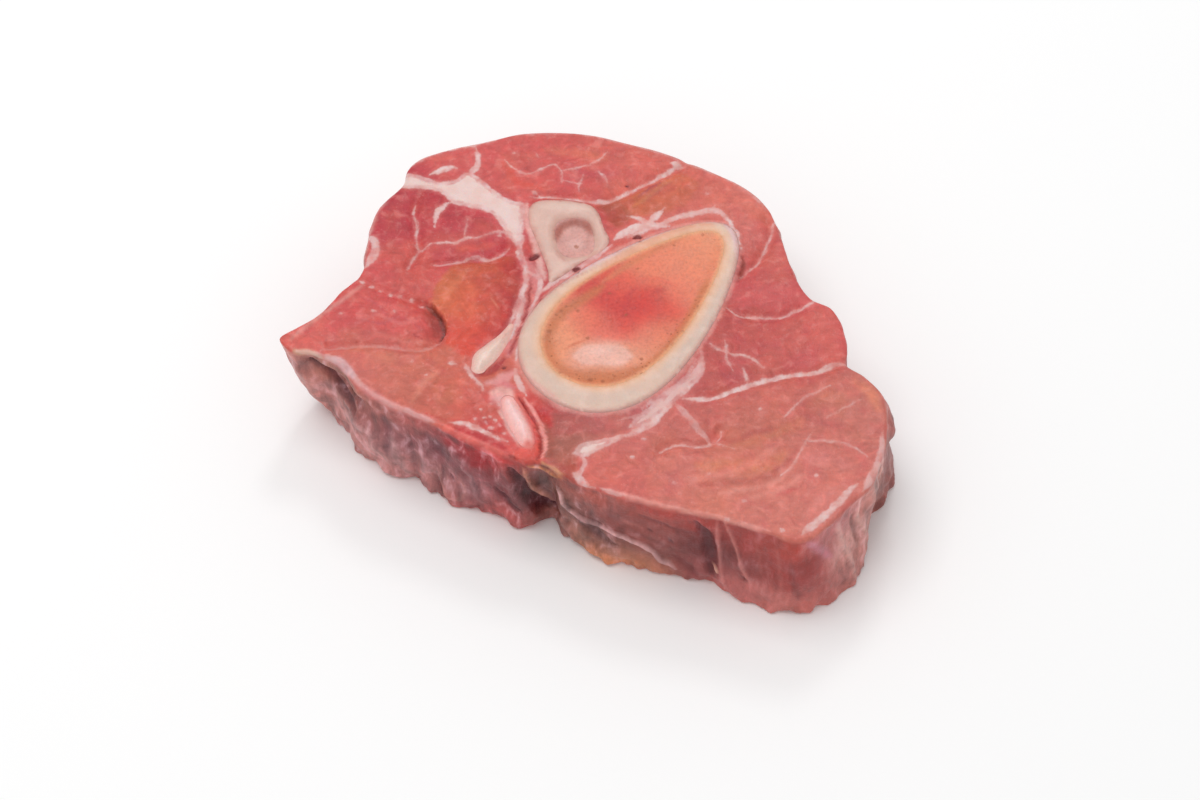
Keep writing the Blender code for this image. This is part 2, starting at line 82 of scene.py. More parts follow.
# Sizes and forms that the solids have. The outline holds places on the rim and how far the foot lies from each.
THICKNESS = 32.0
MIDDLE = (-1.26, 1.70)
EDGE_RADIUS = 1.0
FOOT_RADIUS = 1.2
CURVE_STEPS = 16
EGG_STEPS = 240
OUTLINE = numbers("""
-81,-1.5,9,3 -77,2,6,3 -71,6.5,3,1 -66,13.5,1,-1 -61,19.5,.5,0 -60,25,.5,.5 -59.5,32,0,.5 -57.5,41,-.5,.5
-51.5,49,.5,-.5 -50,54.5,.5,0 -46.5,58.5,0,.5 -38.5,62,.5,.5 -29,64.5,.5,0 -20,67,0,0 -10,67.5,0,.5 0,66.5,.5,.5
10,63.5,.5,0 20,60,.5,.5 30,55,.5,.5 40,48.5,1,1 46.5,41,1.5,.5 49.5,31,2,.5 52.5,18.5,2,0 56,11.5,1.5,1
61.5,8,1.5,1.5 64,2,2,1 65,-5,2,.5 64.5,-9.5,3,1 69,-13.5,3.5,2.5 73,-19,5,2 74,-27.5,4,0 72.5,-37.5,-1.5,.5
69,-46.5,.5,-.5 62.5,-53.5,4,-2.5 56,-60,3.5,-2.5 50.5,-63,2.5,-2 43,-61,0,-2.5 32,-57,0,-1.2 20,-54,0,.5 9,-51,0,0
0,-47.5,0,-.5 -7,-44,0,2 -12.5,-40,2,3 -18,-39.5,0,.5 -28,-35,0,0 -37.5,-30,0,-2 -45,-26,.5,.5 -53.5,-22,-.5,.5
-60.5,-16.5,-1.5,.5 -66,-9.5,-.5,0 -71.5,-6.5,3,1.5 -77.5,-5.5,7,3
""")
LARGE_BONE = dict(middle=(11.6, 7.4), length=36.5, width=19.6, turn=48.4, taper=-0.37, belly=0.07)
LARGE_MARROW = dict(middle=(11.9, 9.2), length=30.9, width=14.8, turn=47.4, taper=-0.40, belly=0.06)
SMALL_BONE = numbers("""
-17.3,40.5 -15,43.2 -9,43.6 -2,42.3 .9,39.5 2.4,34.5 3.9,30.2 2.3,26.8 -3.2,22.8 -8.6,18 -11.6,16.2 -12.2,20.5
-14.6,28 -16.9,35
""")
SMALL_MARROW = dict(middle=(-5.2, 31.2), length=5.0, width=6.6, turn=9.0, square=3.2)
BONE_RISE = 0.6
SMALL_BONE_RISE = 0.5
SMALL_MARROW_SINK = 0.72
TENDON_RISE = 0.9
VESSEL_RISE = 0.5
TOP_MARGIN = 0.05
FAT_BAND = numbers("""
-56,48.5 -51,47.8 -46,47.8 -42,46.8 -39.5,44.8 -38,42.6 -34,41.4 -28.5,40 -25.5,37 -23,32.5 -20,29.8 -18.9,34 -18.8,39
-18.6,43 -21.5,43.4 -25.5,46 -30,50.3 -33.8,53.6 -36.2,51.8 -39,50.2 -42.5,50.4 -46.5,52 -51,53.2 -56,53.5
""")
TENDON = numbers("-29.4,-11,2 -28.2,-8.2,2.8 -25.8,-5.2,2.4 -23.2,-1.4,1.5 -21.4,2.4,.8")
VESSEL = numbers("-21.8,-21.6,1.8 -20.3,-25.4,2.5 -18.2,-29.6,2.7 -16.9,-33.4,2.1")
RIBBON_CROWN = 2.5
RIBBON_END_STEPS = 9
SEAMS = table("""
-47.5,43.5 -48,38 -46.8,32 -46,27.5 -48.5,22
-42.5,23 -35,24 -27.5,24.5 -22.5,28.5
-15,45.4 -8,45.2 1,43.6 7.5,46 15,50.5 24,56
38.5,19 41.5,22 44.8,27 46.6,33 45.5,38
34.5,8.5 40,5.6 48,5.6 53.5,8
27,-20.5 32,-19.2 38.5,-16.5 48.5,-13 56.5,-12 62.5,-9.8
-60,17 -53,13 -45.5,10.5
-68,-3.6 -60,-3.6 -52.5,-4 -44.5,-4.5 -39.5,-2.5
-18,-12 -19,-4 -17.6,5.5 -15.6,13
16.5,-36.5 21,-34 28,-34.5 32,-30
-13.2,-26 -12.2,-31 -12,-37
-4.5,-40 -3.6,-44.5
""")
FURROW_DEPTH = 0.7
FURROW_WIDTH = 1.2
DOME_HEIGHT = 0.9
DOME_REACH = 5.0
SWELL_HEIGHT = 0.5
SWELL_LENGTH = 18.0
POCKET = numbers("-43.3,10.4 -41.5,8.6 -39.8,6 -38.6,3 -38.6,.5 -39.8,-1.6")
POCKET_DEPTH = 1.9
POCKET_BANK = 0.8
POCKET_SLOPE = 4.0
POCKET_END = 3.0
FOLD_DEPTH = 1.1
FOLD_LENGTH = 6.0
FOLD_HEIGHT = 26.0
FOOT_RAGGED = 1.3
FOOT_LENGTH = 4.2
FOOT_START = 19.2
QUIET_RIM = 4.0
LEAN_POWER = 1.7
WALL_FORMS = (
    dict(name="left hollow", at=(-60.0, -15.0), reach=15.0, depth=9.0, half_height=7.0, stand=-2.6),
    dict(name="flap below it", at=(-55.0, -21.0), reach=14.0, depth=21.0, half_height=8.0, stand=1.2),
    dict(name="cleft", at=(-12.5, -40.0), reach=5.0, depth=18.0, half_height=20.0, stand=-2.0),
    dict(name="round muscle end", at=(53.0, -63.0), reach=12.0, depth=18.0, half_height=12.0, stand=1.4),
    dict(name="loose right flap", at=(74.5, -25.0), reach=8.0, depth=7.0, half_height=6.0, stand=2.4),
)
SWELL_SEED = 3.7
FOLD_SEED = 11.3
RAGGED_SEED = 5.1

# How fine the shown meshes are, and how closely they meet
TOP_SPACING = 0.62
WALL_SPACING = 0.66
WALL_STEP = 0.75
UNDER_SPACING = 1.5
BONE_SPACING = 0.8
MARROW_SPACING = 0.55
RIBBON_SPACING = 0.5
ROUND_STEPS = 5
SEAT = 0.02
LEVEL_REACH = 1.3
LEVEL_RISE = 0.05
CLEARANCE = 0.62
MERGE = 1e-6
SHARP_ANGLE = math.radians(60.0)

# Fine relief of the faces: height, length and seed. Fine relief of the side: height, lengths and seed.
TOP_RELIEF = numbers("0.20,6,21 0.13,2.6,22 0.05,1.2,23")
LARGE_BONE_RELIEF = numbers("0.10,5,41 0.05,1.6,42")
SMALL_BONE_RELIEF = numbers("0.08,4,44")
LARGE_MARROW_RELIEF = numbers("0.12,4,51 0.08,1.3,52")
SMALL_MARROW_RELIEF = numbers("0.08,2,53")
STRAND_RELIEF = numbers("0.06,2,61")
SIDE_RELIEF = ((0.50, (3.4, 3.4, 9.0), 31.0), (0.45, (3.6, 3.6, 3.4), 32.0), (0.10, (1.3, 1.3, 3.0), 33.0))
HEM_RELIEF = (0.9, (2.2, 2.2, 3.4), 34.0)
HEM_START = 24.0
FINE_START = 2.0
RIM_RISE = ((0.0, 0.29, 1.0, 6.0), (1.0, 1.0, 0.8, 0.0))
FAT_LIFT = 0.14
FAT_SLOPE = 0.8
HOLE_SINK = 0.6
HOLE_SLOPE = 0.5
WOBBLE = 0.45
WOBBLE_LENGTH = 2.4
WOBBLE_SEEDS = (71.0, 72.0)

# How far fields reach beyond a line, and how lines narrow at their ends
FIELD_REACH = 4.0
TAPER = 3.0
TAPER_LEAST = 0.4

# White lines on the upper face: how white and the half width; points, with a half width where it differs
WHITE_LINES = table("""
.8,1.4 -20.5,33,2 -19.3,28.5,1
.45,.9 -20,29,1 -18.6,23 -17.3,20.5,.6
.88,.65 -20.6,27 -18.4,22 -17.8,18 -18.6,12 -19.8,4 -23,-4
.85,.6 -15.4,20.6 -13.9,15.6 -15.6,10.4 -17.6,1.6 -20,-8.6
.7,.45 -19.4,22.7 -16.4,18.9 -13.6,16.6
.8,.7 -14,13.4,.5 -9.2,17.4 -4.6,20.8 0,24.4 4.6,28.6
.55,.4 -16,30 -14.4,24 -13.4,19
.8,.7 -20.2,-11.1,.6 -19.5,-15,.9 -18.2,-17.7,.8 -17.2,-19.7,.5
.55,.35 -13.4,-18.4 -9,-22 -4,-24.2
.38,.5 -24,66.4 -10,67 0,66 10,63 20,59.4 30,54.4 40,48 46,40.6
.85,.8 -33.5,52.5,1.6 -31.6,55.5,1 -31.5,59.5,.6 -32,62,.5
.8,.8 -51.5,54.5 -47,58,.9 -41.5,60.8,.7 -36,62.5 -31,64,.9 -24,66.2,.6
1,.7 -44,52.6,.5 -42,53.7,.9 -38.5,55,.9 -36.8,54.7,.5
.7,.9 -60,30,.6 -58.7,31,1 -57.5,28,1.2 -58.3,24,1 -60.3,20.8,.6
.8,.35 -47.5,43 -48,40.5 -47,35.5 -47,32 -46,27.5 -43,29.5
.6,.35 -46,27.5 -47.5,25 -49,21
.65,.4 -43,29.5 -40,29.6 -37.6,29.4
.9,.7 -39,42.5 -41,40.5,.9 -42,38.5 -42,35,.4
.85,.5 -39,30 -36.5,29.5 -34,31 -31.5,31
.7,.3 -34.5,31 -34,34 -33.5,37
.7,.5 -25.4,32 -24.6,32
.6,.4 -31.5,31 -28,32.4 -24.8,33.4 -22,31.6 -20.6,29
.6,.45 -42.5,23 -39,23 -35,24 -31.5,25 -27.5,24.5 -24.5,26 -22.5,28.5
.85,.5 -17,45.3 -13,45.6,.4 -9,45,.4 -1,44,.4 1.5,43.8 3.5,44,.6 7.5,46 12,49,.4 15,50.5,.4 17.5,52.5,.6 19.5,53.8,.7
 22,56,.9
.9,.8 20.3,57,.5 22.2,56.4,1.1 23.8,56,.5
.7,.3 -24,57.5 -22,55 -20,53.5 -17.5,53 -14.5,54.5 -12,56 -10.5,56 -9,54 -8.5,52 -9,50
.65,.3 -8.5,54 -4,55 1,57.5 3.5,60.5
.55,.3 -16,60.5 -15,58.5
.6,.3 -3,52.5 -4,49 -4,47
.55,.3 -8,50.5 -4.5,49.5
.75,.45 1,53.5 3,51.5 3.5,49
.95,.8 14,35.5,1.4 16.4,38.2,.9 18.6,41,.4
.92,.6 14,35.5,1.4 11.4,37.4 8.6,38.4,.3
.92,.8 20,35,.5 16,34.6,1 14,35.5,1.3 12.6,33.4
.92,1.2 5.4,30.4,.9 8,32.6 11.6,34.6,1.3 14,35.4,1.2
.85,.7 9,31,.5 17.5,35.5,.6 22.5,38,.8 28,39.6,.9 31,40.3,1 34,39.2 37.2,33.5,.5 38.4,27,.4
.8,.5 30.5,39.5 32,42
.8,.4 25.5,38 26,40
.75,.3 38,18.5 40.5,21 43,23.5 44.5,27 45.5,29.5 46.5,32 48,38.5
.75,.3 34.5,8.5 37,6 40,5.5 48,5.5 51,7 53.5,8 58,10.5
1,.65 22.5,-20.5 27,-20.5 30.5,-20 34.5,-18 38.5,-16.5 42,-15 48.5,-13 52.5,-12.5 56.5,-12 61.5,-9.5 64,-9.5
.85,.5 38,-11 39,-15
.8,.45 34,-6 32,-5.5 29.5,-3.5,.25
.8,.4 34,-6 33.5,-2.5,.25
.8,.45 34,-6 36,-7 38.5,-7 43.5,-10.5,.25
.8,.45 34,-6 34,-8.5 35.5,-12,.25
.5,1 50,31.5,.5 51.8,26.5,1.1 53.2,22.2,1.2 54.3,17.2,1 54.6,15,.5
.62,1.2 27.4,-6,.6 27.3,-10,1 26,-13.4,1.5 22.3,-17,1.9 18,-21.6,2.1 13,-26.4,1.8 9,-29.4,1.2
.9,.5 28.2,-9.6,.3 26.6,-14 23.5,-17.9 20.5,-20.6,.7 17,-25,.9 12.8,-29.4,1.2 8,-31.9 2.5,-34.2,1.4 -2.5,-36.2,2
 -5,-37,1
.92,1.4 -3,-35.6 .5,-34.8 3,-34,1
.6,.3 26,-8.4 23,-14 17.4,-19 12,-23.6
.85,.8 -2.8,-37.5,.9 -2.6,-41,.6 -4.2,-43.2,1 -3.2,-45,.8 -1.8,-46.4,.7 .4,-47.2,.5
.7,.7 1.6,-47.6,.4 4,-48.6,.9 5.6,-49.4,.6 8,-50.2,.3
.35,.5 2,-23.5 8,-23.5 13,-21
.3,.5 6,-27.5 13,-25 17,-21
.45,.9 20.5,-22 23,-25 25.5,-29 29,-33.5
.7,.3 16.5,-36.5 18.5,-35 21,-34 24,-34.5 28,-34.5 31.5,-32.5 32,-30
.6,.25 30.5,-34 33,-35 35,-36
.5,.35 47.5,-26.8,.25 51.1,-22.6 53.6,-20.2 57.1,-18.3 60,-16.4,.25
.45,.3 58.7,-26.3 61.9,-24 64.7,-22.6 67.4,-20.8
.5,.35 54.6,-31 53,-33.8 51.3,-37.5 49.3,-41.2 46.5,-43.9,.25
.55,.35 53.4,-33.8 57.6,-33.5 61.4,-34 64.4,-35.2 66.6,-37 68.1,-38.4
.85,.85 50.7,-61.4,.4 53.5,-58.8,.9 57.4,-55.2,1 60.4,-52,.9 63.4,-48.6,.8 65.4,-46.6,.5
.55,1.1 66.2,-49,.6 68.6,-45.4,1.1 70.8,-41,1.1 71.8,-37,.9 72.4,-31,.5
.35,1 -76.5,-5.4,.7 -72.5,-6.4,1 -68.5,-7.6,1.2 -65.4,-8.8,1.2 -63,-11.4,1.1 -60.4,-15,.9 -57.6,-17.8,.8
.3,.7 -57.6,-17.8 -55,-20.2 -51.5,-22.5 -47,-24.8 -40.3,-27.9
.9,.5 -32.9,-9.9,.8 -31.9,-12.3,.7 -30.3,-14.6 -28.6,-16.6 -28,-18.1
.7,.5 -22,1.5 -20.9,5.5 -19.6,10.5 -18.9,14.5
.9,.6 -36.4,-27.9,.3 -32.5,-28.4,.7 -30,-29.3,.8 -27.3,-30.8,.6 -24.2,-32.9,.5 -21.6,-33.8,.4
.7,.4 -37.4,-9.5 -35.2,-9.7
.22,.5 -70,-5 -64,-4 -59,-3.5 -52.5,-4 -47,-5 -43.5,-4.5 -39.5,-2
""")
BAND_WHITE = 0.92
FLECK_WHITE = 0.8
FLECK_HALF_LENGTH = 0.1
# Small pale flecks and painted glints: x, y and half width. The flecks in the red hollow, from -29.8,-27 to
# -20.3,-31.8, and those at -57,7 and -46.5,-8.5 are painted glints
FLECKS = numbers("""
9.5,-38.5,.6 28.5,-43.5,.5 37,-51.5,.5 32.5,-57,.6 46,-60,.5 -60.5,17,.5 -58,15.5,.5 -55.6,14.3,.4 -53,13,.5
-50.5,12.5,.4 -47.5,11.5,.5 -45,10,.4 -65.5,6,.45 -57,7,.45 -51.5,7,.4 -46.5,-8.5,.4 -16,47,.6 -27.8,-26.6,.4
-26.2,-26.2,.4 -25.8,-29.3,.5 -24.9,-27.3,.4 -22.6,-31.3,.4 -20.3,-31.8,.4 -29.8,-27,.4 12.5,-33,.4 -28.6,-24,.35
-24.4,-22.4,.35 -33.6,-20.4,.3 -42.6,-13,.3 42,-24,.35 20,-46,.35 55,-44,.35 -21.5,60,.35 30,46,.35
""")
# Small holes, cut into the face a little and painted dark as the shade inside them: half width and points
DARK_LINES = table("""
.7 -16.4,24.2 -15,25.1
.35 -23.1,-11.1 -22.7,-10.9
.55 10.8,30.9 12,31.3
.65 -5.2,20.2 -4.2,20.8
.25 8.3,49 8.8,49
""")
# Painted shade inside the small holes
HOLE_COLOUR = (110, 30, 32)

# Muscle colours: x, y, reach and colour
MUSCLE = numbers("""
-50,38,9,184,60,70 -46,26,8,205,86,84 -38,36,9,186,62,70 -29,33,8,194,70,75 -28,58,9,206,92,88 -10,58,10,206,92,86
8,58,10,210,104,92 -5,49,7,196,78,78 28,50,9,210,108,94 38,42,9,213,116,102 46,28,8,200,98,92 45,14,8,198,88,86
54,1,9,207,96,92 42,-2,9,188,80,80 30,-12,8,188,82,82 50,-9,8,196,88,86 28,-26,9,196,104,94 48,-22,10,198,110,96
66,-24,8,198,118,104 18,-40,9,205,118,106 38,-38,11,202,120,100 60,-40,10,205,118,107 46,-55,9,210,126,111
8,-44,6,206,104,94 -76,-1,7,211,97,92 -62,8,9,208,88,85 -50,6,8,206,86,82 -60,-9,8,204,114,103 -48,-14,9,200,112,94
-36,-18,8,202,102,84 -28,-26,6,206,84,78 -52,17,7,202,84,82
""")
# Muscles whose colour changes at their border: border, width of the change and colours with their places
AREAS = (
    dict(name="orange muscle", change=1.2, loop=numbers("""
-42,10.5 -41,15.5 -36.5,23 -30,24 -23.5,25.5 -20,23 -19.5,17 -20,10.5 -22,2.5 -26.5,-3.5 -31.5,-7.5 -37,-4 -38.6,-1
 -38,2.5 -39.5,7
"""), spots=numbers("""
-38.5,12,6,206,114,74 -30,21,6,202,98,70 -32,10,7,214,94,68 -22.5,15,7.2,174,42,46 -33,-3,6,214,80,62
-25,3,5.5,196,60,54
""")),
    dict(name="brown muscle", change=1.5, loop=numbers("""
-15,-19 -13,-28 -12,-38 -7,-44 -3.5,-43.5 -4.5,-38 2,-33 9,-30 14,-26 22,-18 25,-8 14,-18 4,-22 -6,-19 -13,-12
"""), spots=numbers("""
-12,-21,4,194,66,64 -6,-26,5,176,88,84 -9,-35,6,160,96,86 4,-27,5,184,100,94 14,-23,5,188,94,94
-5.5,-41.5,4,190,100,80
""")),
    dict(name="brown orange muscle", change=2.0, loop=numbers("""
1,43 8,45.5 16,50 22,53.5 27.5,50 24,42 17,38.8 10,37.4 6,34.5 4,36.5 2.6,40
"""), spots=numbers("""
4,40,4,168,76,58 12,42,5,194,102,72 21,47,5,204,108,80
""")),
)
# Soft strokes on the upper face, mostly colours of the tissue, with painted light among them:
# and on the lilac-pink patch by the tendon (228,172,170); the two small pale strokes in the red hollow (236,196,196)
# are painted glints.
# painted highlights on the lit edge of the orange muscle by the pocket (238,140,100), on the left rim lip
# (214,184,190)
# painted shade in the dark crescent along the pocket (104,52,44), inside the pocket (140,70,60) and under the left
# rim lip (170,124,96);
TOP_STROKES = strokes("""
190,106,80 .65,3.2,3 -39.6,-15 -37.4,-18.4 -38.6,-21.6
224,146,120 .6,.7,1.6 -46,-22 -43.4,-15.8 -41.2,-13.5 -39.3,-11.3
214,132,108 .5,1.8,2.6 -62,-4.8 -57,-4.8 -53.5,-7 -48,-7.6
196,112,92 .35,2,3.5 -55,-12 -50,-16 -46,-20
232,150,130 .6,.5,1 -48.4,-9 -46,-7.9 -44.6,-6.8
226,116,96 .45,2.4,3 -31,-15 -34,-22
216,138,134 .8,1.8,1.4 -17.4,24 -16.2,17 -16.8,11 -19,5 -20.6,-1 -22,-7
170,48,50 .75,.8,1 -20.8,23 -19.9,17 -20.6,10.5 -22.4,3 -26,-3
150,44,50 .92,.4,.45 -16.6,17.4 -16.8,12.6 -18.3,4 -20.4,-3 -22.4,-8
170,60,64 .8,.3,.45 -13.3,12.4 -15.4,5.4 -17.4,-1.5 -19.4,-8.2
164,44,50 .85,1,.9,-.25 -30.2,-13.8 -27.6,-12.8 -24.9,-10.9 -23.2,-8.2
228,172,170 .8,1.4,1.4 -27.1,-16 -25,-15.6 -23,-14.2 -20.5,-12.3
230,176,172 .75,1,1.2 -26,-22.6 -24.6,-20.4 -22.6,-18.2 -21.8,-14.6
216,126,130 .75,1.6,2 -25.8,-18.8 -23.4,-17 -20.4,-17.4
190,56,68 .75,.35,.5 -24.8,-19.5 -23.9,-18 -22.9,-18.7 -23.2,-20.6
198,58,60 .85,1.4,1.6 -17,-18.8 -14.6,-22.4 -12.4,-25.6 -10.9,-28.4
192,70,68 .55,1.2,2 -13.6,-20.4 -10.6,-23.8
190,54,58 .92,1.5,1.2 -37,-28.8 -32.2,-30.4 -29.3,-31.8 -25.7,-34 -22.4,-35.8
206,74,72 .9,1.9,1.4,-.45 -28.4,-28.4 -25,-29 -22.6,-30.2
236,196,196 .6,.35,.4 -27.6,-27.9 -26.8,-28.4
236,196,196 .6,.35,.4 -24.2,-28.4 -23.4,-28.8
170,40,46 .6,.35,.5 -28.6,-30 -25.4,-30.4 -23,-31.8
196,50,54 .75,.3,.4 -42,-25.6 -37.9,-27 -34.8,-27.3 -31.4,-27.1
224,116,106 .85,.8,.8 -41.3,-26.3 -38.6,-28.7 -35.5,-30.5 -32.4,-32.3 -29.3,-33.9 -27.2,-35 -24.1,-36.8 -21.5,-37.8
238,192,182 .92,2.6,1.6 -25.4,-19 -23,-19.6 -21.8,-22.6
208,96,100 .6,.35,.6 -26.6,-21.6 -24.6,-22.6 -23.6,-24.4
234,176,166 .85,1.4,.9 -23.2,-22.6 -21.6,-26.6 -20.2,-30.4 -18.8,-34
220,92,80 .88,1.5,1.4 -20.2,-37 -17.2,-37.6 -15,-36.8
216,80,74 .88,.8,.9 -17,-24.6 -15.2,-28.2 -14.3,-31.8 -14.2,-35.2 -15.2,-37.8
124,20,28 .85,.5,.7 -21.4,-38 -19.6,-38.6
150,34,42 .95,.42,.4,-.4 -19,-20.4 -16.9,-24.2 -14.6,-28 -13.5,-31.5 -13.3,-34.8 -13.8,-38.2 -15,-40
240,164,156 .95,.52,.4,.25 -17.8,-20.8 -15.4,-24.4 -13.3,-28.2 -12.4,-31.8 -12.2,-35.2 -12.9,-38.6
232,188,142 .85,.6,.7 -12.8,-39.6 -10.3,-41.6 -7.4,-43.2
172,78,68 .75,1.4,1.6 -8,-41 -6.4,-43.6 -4.8,-45.4
104,52,44 .92,.6,.8 -44,10.4 -42,8.6 -40.2,6 -39,3 -39,.5 -40,-1.4
140,70,60 .65,1.5,2.4 -43.6,8.2 -41.4,4.6 -40.6,.9
238,140,100 .5,.3,.5 -42.6,11 -40.8,9 -39.2,6.4 -38,3.2 -38,.6
228,184,176 .6,.7,1.2 -60.6,25 -59.6,32 -57.6,40.5 -52.4,48.4
226,180,168 .5,.6,1.2 -78,-2 -72,4.6 -66,10 -60,16
204,120,104 .4,.6,1.4 -58,0 -52,-1 -47,-2.4 -41,-1.6
188,84,96 .5,.4,.8 -60,4 -55,3 -50,5 -45,2
222,120,112 .45,.8,1.4 -58,10 -52,8.6 -47,8.8
184,72,84 .45,.5,1 -62,12 -57,10 -53,4.6
228,140,134 .45,.5,1 -62,2 -56,5.6 -50,3 -44.6,4.8
196,100,88 .4,.8,1.6 -66,1 -59,-1.8 -53,-2.8
168,44,54 .8,.4,.5 -68.6,-1.5 -68.8,-3.1
166,62,56 .75,.35,.5 -61.2,-2.4 -60.6,-2.5
164,46,56 .75,.35,.5 -48.4,.8 -47.8,.4
164,46,56 .75,.35,.5 -46.6,-.2 -44.6,-1.6
226,132,124 .45,.8,1.2 -51,-1.6 -47.4,-3.4 -44.8,-4
216,188,158 .9,1.2,1 -77,-5.4 -73,-6.4 -70,-7.2
214,184,190 .9,1.2,1 -68.4,-7.6 -65.4,-8.6 -63,-11.4 -61.2,-14
220,154,150 .85,.9,.9 -60.6,-15 -57.6,-18 -55,-20.2 -51.5,-22.5 -47,-24.8 -40.3,-28
170,124,96 .65,.5,.8 -73,-7.6 -70,-8.4 -66.6,-10
178,66,60 .5,.9,1.8 -34,37 -29,36 -26.6,33
214,94,76 .55,.9,1.6 -36,27.6 -30,28.2 -25.4,29.4
190,56,52 .55,1.4,2 -27,23.8 -23.6,22.4 -21.6,18
226,134,94 .5,1,1.6 -39.4,11 -36.4,16 -33.4,21
186,96,62 .45,1.2,1.8 -41,13 -38.6,17.6 -35,21.6
230,124,92 .35,.8,1.6 -33,17 -31.4,11 -32,5
198,78,58 .4,.7,1.4 -30,15 -28.6,9 -30,2
238,160,130 .45,.3,.6 -27,12.6 -26,9.6 -25,7.4
214,92,88 .6,.8,1.2 45.2,-49.6 47.5,-48.6 50.1,-48
214,134,96 .6,1.8,2.8 26,-41 34,-41 42.8,-41 47.4,-37.6
206,126,92 .5,1.6,3 34,-35 45,-32 52,-27
194,116,92 .5,2,3.2 55,-22.1 60.9,-20.7 62.5,-26
222,140,104 .6,1.4,2.2 66.4,-15.4 70.2,-18.8 71.6,-24
228,156,140 .6,.6,1.3 48.1,-42.5 45.7,-45.3 40.7,-47.5 31.2,-49.3
230,154,138 .5,.7,1.6 51.6,-44 46.4,-48.2 38,-51
176,82,72 .45,.7,1.6 46.8,-41.4 42,-44.6 34,-46.2 26,-46.6
176,80,74 .5,.7,1.6 50.6,-36 48.6,-39.6 44.8,-42.6
232,150,134 .5,.9,2 22,-45 32,-43.4 41,-39.4 47,-33
176,78,72 .55,.8,1.6 30,-32 35,-33.6 40,-31 46,-30
216,136,128 .5,1.8,2.6 52,-38.6 58,-40 64,-42
180,82,82 .45,1.4,2.6 52,-24 58,-28 65,-30
226,140,128 .45,1.4,2.4 64,-44 58,-50 52,-56
110,44,40 .75,.3,.4 3.6,-50.6 4.4,-50.8
110,44,40 .75,.25,.4 8.6,-52 9.2,-52.1
124,50,44 .7,.25,.4 13.4,-53.6 14,-53.8
124,50,44 .65,.25,.4 20.6,-56 21.4,-56.2
236,172,160 .7,.5,.8 6,-49.2 11.8,-51.3 19.9,-53.6 26,-55.2 30.8,-56.4 36,-58.2 43,-60.4
176,76,84 .4,1.6,2.6 29,-13 33,-14.5 38,-13.5
198,96,92 .4,1.2,2.4 44,-6 50,-3 58,-4
214,112,106 .45,1.4,2.4 40,12 47,14 53,12
206,122,112 .45,2,3 38,26 41,33 38,38
132,58,46 .85,.7,1.1,-.4 38.9,24.8 39.1,23 38.3,19.6 37.3,17.3
140,68,84 .55,.9,1.5 12.5,43.5 15.5,46.5 20,50
208,134,84 .6,.7,1.3 10.5,41.6 14.6,45.6 20,50.6
184,92,62 .45,.8,1.6 6,41.6 9.4,43.6 13,44.6
168,70,50 .6,.8,1.5 3,38 6,37 9,38.6
200,108,90 .4,1.4,2.6 22,42.6 27,45.4 31,48
120,52,84 .65,.3,.4 -4.1,48 -4,47
130,60,90 .65,.3,.5 8.1,49.4 9.2,48.6
212,76,60 .55,1,1.8 -24,56 -20,50 -13,48
218,122,96 .5,1.3,2.4 -13,61 -5,60 3,58
186,72,84 .45,.9,1.6 -8,57 -2,53 6,53
222,112,98 .45,1.2,2 -44,57.6 -39,58.6 -34.4,57.6
228,164,154 .45,.6,1.2 -43,50.6 -36,48 -28,45 -22,41
230,188,178 .85,1,.9 -18,42.6 -17.7,36 -15.7,29.6 -14.4,23 -13,17.6
168,56,58 .75,1.4,1 -17.2,23.8 -14.4,25.4
188,90,84 .55,.25,.5 -12.8,15.4 -8.4,19 -3.6,22.6 1.6,27.2
236,182,178 .85,1.7,1.4 -26,-20.6 -24,-20.2 -22.6,-22.4 -22,-25
240,198,190 .85,.9,.8 -23.8,-24.6 -21.8,-27.4 -20.6,-30.2 -20,-33.2
132,58,92 .55,.35,.7 11.6,45 14.6,48 18,50
180,72,70 .6,.45,.6 -17.4,30.4 -16.6,27.2 -15.6,22
""")

# Tissue next to the bones: colour, share, how far from the bone and how soft
BONE_SHEATH = ((222, 160, 150), 0.75, 0.9, 1.0)
SMALL_BONE_SHEATH = ((196, 110, 106), 0.70, 0.35, 0.6)
VESSEL_SHEATH = ((228, 132, 122), 0.85, 0.7, 0.9)
TENDON_SHEATH = ((216, 128, 120), 0.60, 0.5, 0.8)

